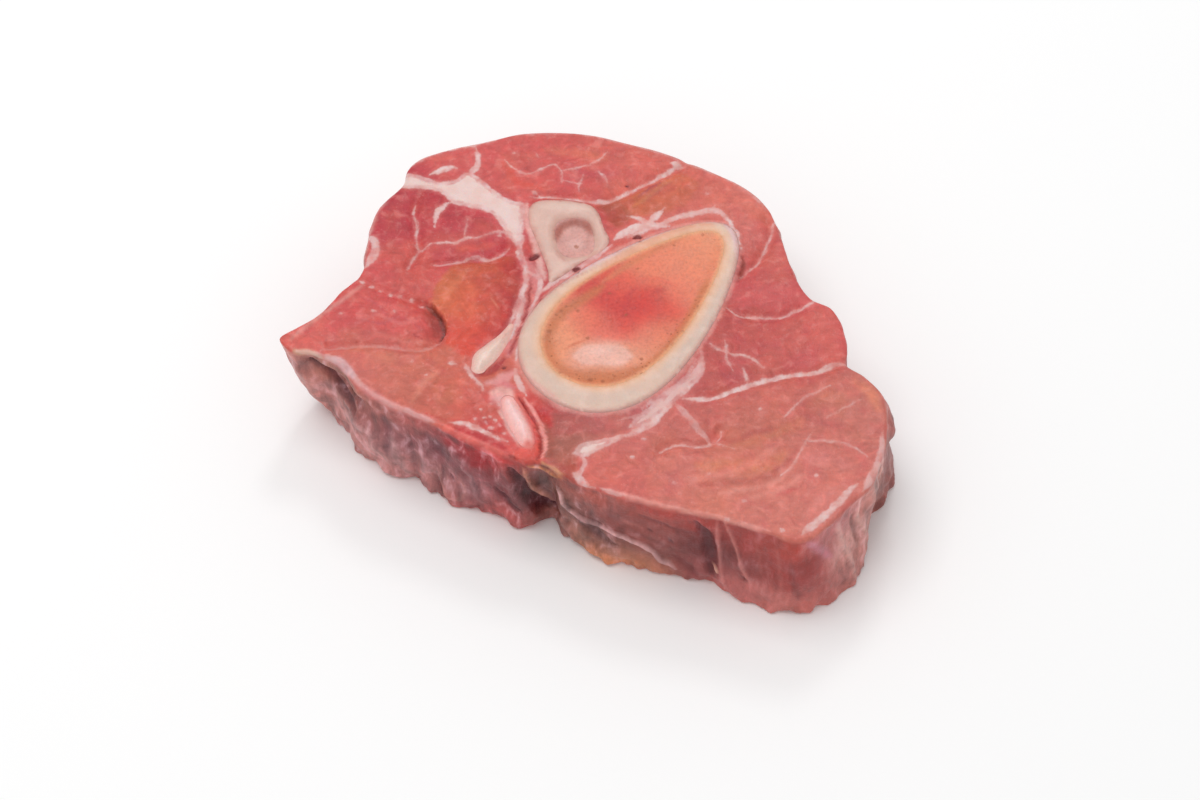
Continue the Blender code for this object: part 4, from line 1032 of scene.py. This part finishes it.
def face_points(loops, lines, spacing):
    """Points for a face: its loops and lines first, then an even field that keeps clear of them."""
    fixed = list(loops)
    edges = []
    count = 0
    for loop in loops:
        edges += [(count + i, count + (i + 1) % len(loop)) for i in range(len(loop))]
        count += len(loop)
    for middle in lines:
        keep = between(middle, loops)
        for loop in loops:
            keep &= distance(middle, ring(loop)) > CLEARANCE * spacing
        kept = np.flatnonzero(keep)
        edges += [(count + i, count + i + 1) for i in range(len(kept) - 1) if kept[i + 1] == kept[i] + 1]
        fixed.append(middle[kept])
        count += len(kept)
    fixed = np.vstack(fixed)
    low, high = loops[0].min(axis=0), loops[0].max(axis=0)
    xs = np.arange(low[0], high[0], spacing)
    ys = np.arange(low[1], high[1], spacing * math.sqrt(0.75))
    even = np.array([(x + spacing / 2 * (row % 2), y) for row, y in enumerate(ys) for x in xs])
    even = even[between(even, loops)]
    tree = kdtree.KDTree(len(fixed))
    for i, (x, y) in enumerate(fixed.tolist()):
        tree.insert((x, y, 0.0), i)
    tree.balance()
    clear = np.array([tree.find((x, y, 0.0))[2] > CLEARANCE * spacing for x, y in even.tolist()])
    return np.vstack([fixed, even[clear]]), edges


def fill(loops, lines, spacing):
    """Points and triangles of a flat face inside the first loop and outside the others, and its border's points."""
    points, edges = face_points(loops, lines, spacing)
    found = delaunay_2d_cdt([Vector(p) for p in points], edges, [], 0, MERGE)
    flat = np.array([tuple(p) for p in found[0]])
    triangles = np.array(found[2])
    origin = {source: new for new, sources in enumerate(found[3]) for source in sources}
    keep = between(flat[triangles].mean(axis=1), loops)
    return flat, triangles[keep], [origin[i] for i in range(sum(len(loop) for loop in loops))]


def closed_mesh(rings, lines, spacing, height):
    """Points and faces of a closed form: side columns of the border and of each hole, and a face above and below."""
    points, faces, starts = [], [], []
    total = 0
    for number, columns in enumerate(rings):
        starts.append(total)
        count, rows = columns.shape[:2]
        points.append(columns.reshape(-1, 3))
        for i in range(count):
            here = total + i * rows
            there = total + (i + 1) % count * rows
            for row in range(rows - 1):
                corners = (here + row, here + row + 1, there + row + 1, there + row)
                faces.append(corners if number == 0 else corners[::-1])
        total += count * rows
    for up in (True, False):
        loops = [columns[:, 0 if up else -1, :2] for columns in rings]
        flat, triangles, rim = fill(loops, lines if up else (), spacing if up else UNDER_SPACING)
        tall = height(flat) if up else np.zeros(len(flat))
        index = np.arange(len(flat)) + total
        points.append(np.column_stack([flat, tall]))
        total += len(flat)
        at = 0
        for start, columns in zip(starts, rings):
            rows = columns.shape[1]
            for i in range(len(columns)):
                index[rim[at]] = start + i * rows + (0 if up else rows - 1)
                at += 1
        for a, b, c in index[triangles].tolist():
            faces.append((a, b, c) if up else (c, b, a))
    return np.vstack(points), faces


def add_object(name, data):
    made = bpy.data.objects.new(name, data)
    bpy.context.scene.collection.objects.link(made)
    return made


def add_piece(name, points, faces, looks, skin, nodes):
    """A shown mesh with its colour and number fields at each point, which stands for the given CAD nodes."""
    used = np.unique(np.array([corner for face in faces for corner in face]))
    order = np.zeros(len(points), int)
    order[used] = np.arange(len(used))
    place = (points[used] - np.array([*MIDDLE, 0.0])) * MM
    place = np.clip(place, np.array(CAD_BOX[0]), np.array(CAD_BOX[1]))
    mesh = bpy.data.meshes.new(name)
    mesh.from_pydata(place.tolist(), [], [[int(order[corner]) for corner in face] for face in faces])
    for key, values in looks.items():
        if values.ndim == 2:
            layer = mesh.color_attributes.new(key, "FLOAT_COLOR", "POINT")
            layer.data.foreach_set("color", np.column_stack([values[used], np.ones(len(used))]).ravel())
        else:
            layer = mesh.attributes.new(key, "FLOAT", "POINT")
            layer.data.foreach_set("value", values[used].astype(np.float32))
    mesh.shade_smooth()
    mesh.set_sharp_from_angle(angle=SHARP_ANGLE)
    mesh.materials.append(skin)
    made = add_object(name, mesh)
    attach(made, "root")
    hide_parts(*nodes)


class Skin:
    """A Principled material that is put together from procedural nodes. Lengths in it are in millimetres."""

    def __init__(self, name):
        self.material = bpy.data.materials.new(name)
        self.material.use_nodes = True
        self.tree = self.material.node_tree
        self.place = self.vector("MULTIPLY", self.node("TexCoord", {}, "Object"), (1 / MM,) * 3)

    def put(self, node, inputs):
        """Gives each named or numbered input of a node its value or its link."""
        for key, value in inputs.items():
            if isinstance(value, bpy.types.NodeSocket):
                self.tree.links.new(value, node.inputs[key])
            else:
                node.inputs[key].default_value = value

    def node(self, kind, inputs, output=0, **settings):
        """An output of a new node with the given settings and inputs."""
        made = self.tree.nodes.new("ShaderNode" + kind)
        for key, value in settings.items():
            setattr(made, key, value)
        self.put(made, inputs)
        return made.outputs[output]

    def vector(self, operation, a, b):
        return self.node("VectorMath", {0: a, 1: b}, operation=operation)

    def attribute(self, name, output="Fac"):
        return self.node("Attribute", {}, output, attribute_name=name)

    def math(self, operation, a, b):
        return self.node("Math", {0: a, 1: b}, operation=operation)

    def times(self, a, b):
        return self.math("MULTIPLY", a, b)

    def total(self, *values):
        found = values[0]
        for value in values[1:]:
            found = self.math("ADD", found, value)
        return found

    def noise(self, size, detail=2.0, stretch=(1.0, 1.0, 1.0), rough=0.5, twist=0.0):
        """Noise from 0 to 1 about 0.5, with features of the given size, longer along an axis by its stretch."""
        place = self.vector("DIVIDE", self.place, stretch)
        return self.node("TexNoise", {"Vector": place, "Scale": 1.0 / size, "Detail": detail, "Roughness": rough,
                                      "Distortion": twist}, "Fac")

    def cells(self, size):
        """Distance from the nearest of scattered points, in cell sizes."""
        return self.node("TexVoronoi", {"Vector": self.place, "Scale": 1.0 / size}, "Distance")

    def swing(self, value, amount):
        """Noise turned into a number that swings about 0."""
        return self.times(self.math("SUBTRACT", value, 0.5), 2.0 * amount)

    def swings(self, *pairs):
        """The swings of several noises, each with its amount, one on the other."""
        return self.total(*(self.swing(value, amount) for value, amount in pairs))

    def step(self, value, low, high, out_low=0.0, out_high=1.0):
        """A number that passes smoothly from out_low to out_high while the value passes from low to high."""
        inputs = {"Value": value, "From Min": low, "From Max": high, "To Min": out_low, "To Max": out_high}
        return self.node("MapRange", inputs, "Result", interpolation_type="SMOOTHSTEP")

    def mix(self, share, a, b):
        return self.node("Mix", {"Factor": share, "A": a, "B": b}, "Result", data_type="RGBA")

    def tinted(self, share, colour, tint):
        """A colour with a share of a tint from 0 to 255 in it."""
        return self.mix(share, colour, (*linear(tint), 1.0))

    def brighten(self, colour, value):
        """The colour times a number that varies about 1."""
        return self.node("VectorMath", {0: colour, "Scale": value}, operation="SCALE")

    def bump(self, height, strength):
        return self.node("Bump", {"Strength": strength, "Distance": MM, "Height": height}, "Normal")

    def finish(self, colour, roughness, normal, depth=1.0, weight=0.20, specular=0.5):
        """Sets the shader: light goes the given depth in millimetres into the flesh."""
        self.put(self.tree.nodes["Principled BSDF"], {
            "Base Color": colour, "Roughness": roughness, "Normal": normal, "Subsurface Weight": weight,
            "Subsurface Radius": SCATTER, "Subsurface Scale": depth * MM, "Specular IOR Level": specular,
        })
        return self.material


# Soft patches of tint in the lean of the upper face: size, detail and twist of the noise, its range, the most, colour
LEAN_PATCHES = (
    (9.0, 3.0, 0.0, 0.44, 0.64, 0.14, (216, 122, 84)),
    (5.0, 3.0, 0.0, 0.50, 0.68, 0.22, (192, 70, 80)),
    # pale patches: a painted sheen of the moist surface
    (2.6, 3.0, 0.5, 0.50, 0.74, 0.30, (224, 144, 136)),
    # fine pale specks: painted glints
    (0.6, 1.0, 0.0, 0.66, 0.76, 0.12, (236, 186, 180)),
)


def flesh_skin():
    """Lean muscle with white seams, small holes painted dark with their shade, and a fibrous side."""
    skin = Skin("flesh")
    side = skin.attribute("side")
    top = skin.math("SUBTRACT", 1.0, side)
    filmy = skin.attribute("film")
    grain = skin.noise(0.7, 3.0)
    patches = skin.noise(2.6, 3.0)
    mottle = skin.noise(7.0, 3.0)
    swirl = skin.noise(5.0, 3.0, twist=2.4)
    streaks = skin.noise(1.6, 3.0, (1.0, 1.0, 5.0), 0.6)
    folds = skin.noise(3.8, 3.0, (1.0, 1.0, 1.6), twist=0.6)
    fibres = skin.noise(1.1, 2.0, (3.6, 1.0, 1.0))
    top_light = skin.total(1.0, skin.swings((grain, 0.08), (patches, 0.12), (mottle, 0.14), (fibres, 0.10),
                                            (swirl, 0.26)))
    side_light = skin.total(1.0, skin.swings((streaks, 0.18), (grain, 0.12), (mottle, 0.24)),
                            skin.times(skin.swings((streaks, 0.22), (folds, 1.00)), filmy))
    light = skin.total(skin.times(top_light, top), skin.times(side_light, side))

    colour = skin.attribute("tissue", "Color")
    for size, detail, twist, low, high, most, tint in LEAN_PATCHES:
        share = skin.step(skin.noise(size, detail, twist=twist), low, high, 0.0, most)
        colour = skin.tinted(skin.times(top, share), colour, tint)
    grey = skin.times(skin.step(skin.noise(8.0, 3.0), 0.42, 0.66, 0.0, 0.45), filmy)
    colour = skin.tinted(skin.times(side, grey), colour, (126, 88, 92))
    film = skin.times(skin.step(skin.total(folds, skin.swing(streaks, 0.22)), 0.52, 0.80, 0.0, 0.42), filmy)
    colour = skin.tinted(skin.times(film, side), colour, (206, 168, 176))
    colour = skin.brighten(colour, light)

    ragged = skin.swings((skin.noise(1.4, 2.0), 0.36), (skin.noise(0.5, 1.0), 0.14))
    white_field = skin.total(skin.attribute("white_field"), ragged)
    whiteness = skin.attribute("whiteness")
    thick = skin.step(white_field, 0.5, 1.6)
    fading = skin.math("MAXIMUM", skin.step(skin.noise(3.4, 2.0), 0.30, 0.60, 0.45, 1.0), thick)
    white = skin.times(skin.times(skin.step(white_field, -0.35, 0.40), whiteness), fading)
    # Colour of the white lines and flecks: fat, and painted glints where flecks stand for them
    fat_and_glints = skin.tinted(skin.step(skin.noise(4.0, 3.0), 0.36, 0.62), (*linear((222, 176, 170)), 1.0), (228, 198, 196))
    fat_and_glints = skin.tinted(skin.times(thick, 0.6), fat_and_glints, (234, 212, 204))
    halo = skin.times(skin.step(white_field, -1.3, 0.1, 0.0, 0.22), whiteness)
    colour = skin.tinted(halo, colour, (224, 140, 134))
    colour = skin.mix(white, colour, fat_and_glints)

    # Painted shade of the small holes
    dark_field = skin.total(skin.attribute("dark_field"), skin.swing(skin.noise(0.9, 2.0), 0.25))
    colour = skin.tinted(skin.step(dark_field, -0.35, 0.30, 0.0, 0.9), colour, HOLE_COLOUR)

    rough = skin.step(skin.noise(2.2, 2.0), 0.30, 0.70, 0.32, 0.48)
    height = skin.total(skin.swings((grain, 0.10), (patches, 0.10), (skin.noise(0.35, 2.0), 0.03)),
                        skin.times(white, 0.12), skin.times(skin.swings((streaks, 0.22), (folds, 0.26)), side),
                        skin.times(skin.swing(swirl, 0.10), top))
    return skin.finish(colour, rough, skin.bump(height, 0.6), specular=0.32)


def bone_skin():
    """Sawn compact bone: cream, close and faintly streaked."""
    skin = Skin("bone")
    grain = skin.noise(0.5, 2.0)
    light = skin.total(1.0, skin.swings((skin.noise(5.0, 3.0), 0.10), (grain, 0.05)))
    colour = skin.brighten(skin.attribute("tissue", "Color"), light)
    colour = skin.tinted(skin.step(skin.noise(3.5, 2.0), 0.50, 0.72, 0.0, 0.25), colour, (236, 204, 190))
    height = skin.swings((grain, 0.05), (skin.noise(1.6, 2.0), 0.08))
    rough = skin.step(skin.noise(3.0, 2.0), 0.3, 0.7, 0.32, 0.46)
    return skin.finish(colour, rough, skin.bump(height, 0.6))


def marrow_skin():
    """Spongy bone filled with marrow: fine dark grains where the bone is open."""
    skin = Skin("marrow")
    sponge = skin.noise(0.9, 3.0, rough=0.6)
    cloud = skin.noise(3.4, 3.0)
    open_bone = skin.attribute("pores")
    light = skin.total(1.0, skin.swings((sponge, 0.30), (cloud, 0.20)))
    colour = skin.brighten(skin.attribute("tissue", "Color"), light)
    grains = skin.times(skin.step(sponge, 0.50, 0.70), skin.times(open_bone, 0.50))
    colour = skin.tinted(grains, colour, (180, 102, 60))
    pores = skin.times(skin.step(skin.cells(1.5), 0.10, 0.24, 1.0, 0.0), open_bone)
    colour = skin.tinted(skin.times(pores, 0.60), colour, (146, 80, 48))
    dark = skin.step(skin.total(skin.attribute("dark_field"), skin.swing(skin.noise(0.6, 2.0), 0.3)), -0.35, 0.30)
    colour = skin.tinted(skin.times(dark, 0.7), colour, (156, 86, 54))
    height = skin.total(skin.swing(sponge, 0.16), skin.times(pores, -0.12))
    rough = skin.step(cloud, 0.3, 0.7, 0.28, 0.42)
    return skin.finish(colour, rough, skin.bump(height, 0.5), depth=1.2, specular=0.32)


def sinew_skin(name):
    """Tendon or vessel wall: smooth and moist, faintly clouded."""
    skin = Skin(name)
    light = skin.total(1.0, skin.swings((skin.noise(2.0, 3.0), 0.12), (skin.noise(0.6, 2.0), 0.07)))
    colour = skin.brighten(skin.attribute("tissue", "Color"), light)
    height = skin.swings((skin.noise(0.9, 2.0), 0.10), (skin.noise(0.4, 1.0), 0.03))
    rough = skin.step(skin.noise(1.5, 2.0), 0.3, 0.7, 0.26, 0.40)
    return skin.finish(colour, rough, skin.bump(height, 0.6), depth=1.2, weight=0.22)


def make_flesh(bones, strands):
    """The lean with its fat, as one closed mesh that the bones, tendon and vessel pass through."""
    columns, run, depth, length = side_columns()

    def height(points):
        _, white_field, whiteness, dark_field = face_look(points)
        fine = relief(points, TOP_RELIEF)
        lift = FAT_LIFT * ease(white_field / FAT_SLOPE + 0.5) * whiteness
        sink = HOLE_SINK * ease(dark_field / HOLE_SLOPE + 0.5)
        marks = sum(mark["stand"] * stroke_share(points, mark) for mark in TOP_STROKES if mark["stand"])
        level = upper_face(points) + fine + lift - sink + marks
        near = np.min([distance(points, ring(loop)) for loop in bones], axis=0)
        return level + (THICKNESS + LEVEL_RISE - level) * (1.0 - ease(near / LEVEL_REACH))

    # The mesh follows every line but the flecks and painted glints, which have two points each
    lines = [middle[:, :2] for _, middle in white_middles() if len(middle) > 2]
    lines += [middle[:, :2] for middle in dark_middles()] + [smooth_curve(POCKET, TOP_SPACING)]
    rings = [columns] + [upright(loop, height) for loop in bones + strands]
    points, faces = closed_mesh(rings, lines, TOP_SPACING, height)
    colour, white_field, whiteness, dark_field = face_look(points[:, :2])
    count = len(run)
    share = ease((depth - RIM_BLEND[0]) / RIM_BLEND[1]) * ease((THICKNESS - depth) / FOOT_BLEND)
    band = ease(white_field[:count] / BAND_SLOPE + 0.5) * BAND_ON_SIDE
    wall_colour = side_look(run, depth, length)
    paint(wall_colour, BAND_COLOUR, band * (whiteness[:count] > BAND_WHITE - 0.01))
    colour[:count] += (wall_colour - colour[:count]) * share[:, None]
    white_field[:count] -= share * LINES_SINK
    dark_field[:count] -= share * LINES_SINK
    side, film = np.zeros((2, len(points)))
    side[:count] = share
    film[:count] = np.interp(run, *zip(*FILM))
    looks = dict(tissue=colour, white_field=white_field, whiteness=whiteness, dark_field=dark_field, side=side,
                 film=film)
    add_piece("flesh", points, faces, looks, flesh_skin(), ("meat", "fat_band", "fat_sheath"))


def make_bone(name, outer, marrow, look, skin, node):
    """A ring of compact bone round its marrow."""
    inner = egg(marrow, BONE_SPACING, SEAT)

    def height(points):
        roll = look["roll"] * (1 - ease(depth_inside(points, outer) / BONE_ROLL)) ** 2
        lip = look["lip"] * (1 - ease(-depth_inside(points, inner) / BONE_LIP))
        return look["top"] - roll - lip + relief(points, look["relief"])

    points, faces = closed_mesh([upright(loop, height) for loop in (outer, inner)], (), BONE_SPACING, height)
    place = points[:, :2]
    away = (-depth_inside(place, inner), depth_inside(place, outer))
    colour = plain(points, look["ground"])
    for (border,), tint, (share, start, reach) in look["rims"]:
        paint(colour, tint, share * (1 - ease((away[int(border)] - start) / reach)))
    paint_strokes(colour, place, look["strokes"])
    add_piece(name, points, faces, dict(tissue=colour * np.array(BONE_TINT)), skin, (node,))


def core_mesh(core):
    """Points and faces of a marrow core, and how deep inside its border each point lies."""
    loop = egg(core["shape"], MARROW_SPACING)

    def height(points):
        rough = relief(points, core["roughness"]) - core["sink"]
        level = core["top"] + relief(points, core["swells"])
        return level + rough * ease(depth_inside(points, loop) / core["reach"])

    points, faces = closed_mesh([upright(loop, height)], (), MARROW_SPACING, height)
    return points, faces, depth_inside(points[:, :2], loop)


def dot_field(place, x, y, half_width):
    return half_width - np.hypot(place[:, 0] - x, place[:, 1] - y)


def make_large_marrow(skin):
    points, faces, depth = core_mesh(LARGE_CORE)
    place = points[:, :2]
    colour = spotted(place, MARROW_SPOTS)
    paint_strokes(colour, place, MARROW_STROKES)
    tint, share, reach = MARROW_RIM
    paint(colour, tint, share * (1 - ease(depth / reach)))
    colour *= np.array(MARROW_TINT)
    lower = ease((PORES_FADE - place[:, 1]) / PORES_FADE)
    start, rise, end, fall = PORES_BELT
    belt = (PORES_UPPER + PORES_LOWER * lower) * ease((end - depth) / fall) * ease((depth - start) / rise)
    dark_field = np.max([dot_field(place, *dot) for dot in MARROW_DOTS], axis=0).clip(-FIELD_REACH, None)
    looks = dict(tissue=colour, pores=PORES_LEAST + belt, dark_field=dark_field)
    add_piece("marrow_core", points, faces, looks, skin, ("marrow_large",))


def make_small_marrow(skin):
    points, faces, _ = core_mesh(SMALL_CORE)
    place = points[:, :2]
    colour = plain(points, SMALL_MARROW_GROUND)
    paint_strokes(colour, place, SMALL_MARROW_STROKES)
    colour *= np.array(BONE_TINT)
    pores = np.full(len(points), SMALL_PORES)
    looks = dict(tissue=colour, pores=pores, dark_field=dot_field(place, *SMALL_MARROW_DOT))
    add_piece("marrow_small_core", points, faces, looks, skin, ("marrow_small",))


def make_strand(name, shape, rise, look, node):
    """A tendon or vessel with a crowned end."""
    loop = ribbon(shape, RIBBON_SPACING)

    def height(points):
        share = ease(distance(points, ring(loop)) / RIBBON_CROWN)
        crown = (THICKNESS + rise - TOP_MARGIN - upper_face(points)) * share
        return upper_face(points) + crown + relief(points, STRAND_RELIEF)

    points, faces = closed_mesh([upright(loop, height)], (), RIBBON_SPACING, height)
    place = points[:, :2]
    middle, edge, marks = look
    colour = plain(points, middle)
    paint(colour, edge, STRAND_EDGE_SHARE * (1 - ease(distance(place, ring(loop)) / STRAND_EDGE)))
    paint_strokes(colour, place, marks)
    add_piece(name, points, faces, dict(tissue=colour * np.array(SINEW_TINT)), sinew_skin(name), (node,))


def make_stage():
    """A plain pale floor under the slice."""
    mesh = bpy.data.meshes.new("floor")
    corners = [(x * FLOOR_HALF, y * FLOOR_HALF, 0) for x, y in ((-1, -1), (1, -1), (1, 1), (-1, 1))]
    mesh.from_pydata(corners, [], [(0, 1, 2, 3)])
    paper = bpy.data.materials.new("paper")
    paper.use_nodes = True
    shader = paper.node_tree.nodes["Principled BSDF"]
    shader.inputs["Base Color"].default_value = FLOOR_COLOUR
    shader.inputs["Roughness"].default_value = FLOOR_ROUGHNESS
    shader.inputs["Specular IOR Level"].default_value = FLOOR_SPECULAR
    mesh.materials.append(paper)
    add_object("floor", mesh)


def make_lights():
    """An even white surround and square soft lights that face the slice."""
    scene = bpy.context.scene
    world = bpy.data.worlds.new("studio")
    world.use_nodes = True
    world.node_tree.nodes["Background"].inputs["Color"].default_value = (1.0, 1.0, 1.0, 1.0)
    world.node_tree.nodes["Background"].inputs["Strength"].default_value = SKY_STRENGTH
    scene.world = world
    for settings in LIGHTS:
        data = bpy.data.lights.new(settings["name"], "AREA")
        data.shape = "SQUARE"
        data.size = settings["size"]
        data.energy = settings["power"]
        light = add_object(settings["name"], data)
        light.location = settings["place"]
        light.rotation_euler = (-Vector(settings["place"])).to_track_quat("-Z", "Y").to_euler()
    scene.view_settings.view_transform = "Standard"
    scene.view_settings.look = "None"


def make_camera():
    """The photograph's view, from in front and ELEVATION above the horizon."""
    data = bpy.data.cameras.new("camera")
    data.lens = LENS
    data.sensor_width = SENSOR
    camera = add_object("camera", data)
    x, y, z = CAMERA_TARGET
    y -= CAMERA_AWAY * math.cos(ELEVATION)
    z += CAMERA_AWAY * math.sin(ELEVATION)
    camera.location = ((x - MIDDLE[0]) * MM, (y - MIDDLE[1]) * MM, z * MM)
    camera.rotation_euler = (math.pi / 2 - ELEVATION, 0.0, 0.0)
    bpy.context.scene.camera = camera


def build():
    make_camera()
    make_lights()
    make_stage()
    bones = [egg(LARGE_BONE, BONE_SPACING, SEAT), grown(smooth_loop(SMALL_BONE, BONE_SPACING), SEAT)]
    strands = [ribbon(TENDON, RIBBON_SPACING, SEAT), ribbon(VESSEL, RIBBON_SPACING, SEAT)]
    make_flesh(bones, strands)
    bone = bone_skin()
    large, small = egg(LARGE_BONE, BONE_SPACING), smooth_loop(SMALL_BONE, BONE_SPACING)
    make_bone("bone_ring", large, LARGE_MARROW, LARGE_BONE_LOOK, bone, "bone_large")
    make_bone("bone_small_ring", small, SMALL_MARROW, SMALL_BONE_LOOK, bone, "bone_small")
    marrow = marrow_skin()
    make_large_marrow(marrow)
    make_small_marrow(marrow)
    make_strand("tendon_strand", TENDON, TENDON_RISE, TENDON_LOOK, "tendon")
    make_strand("vessel_wall", VESSEL, VESSEL_RISE, VESSEL_LOOK, "vessel")


build()
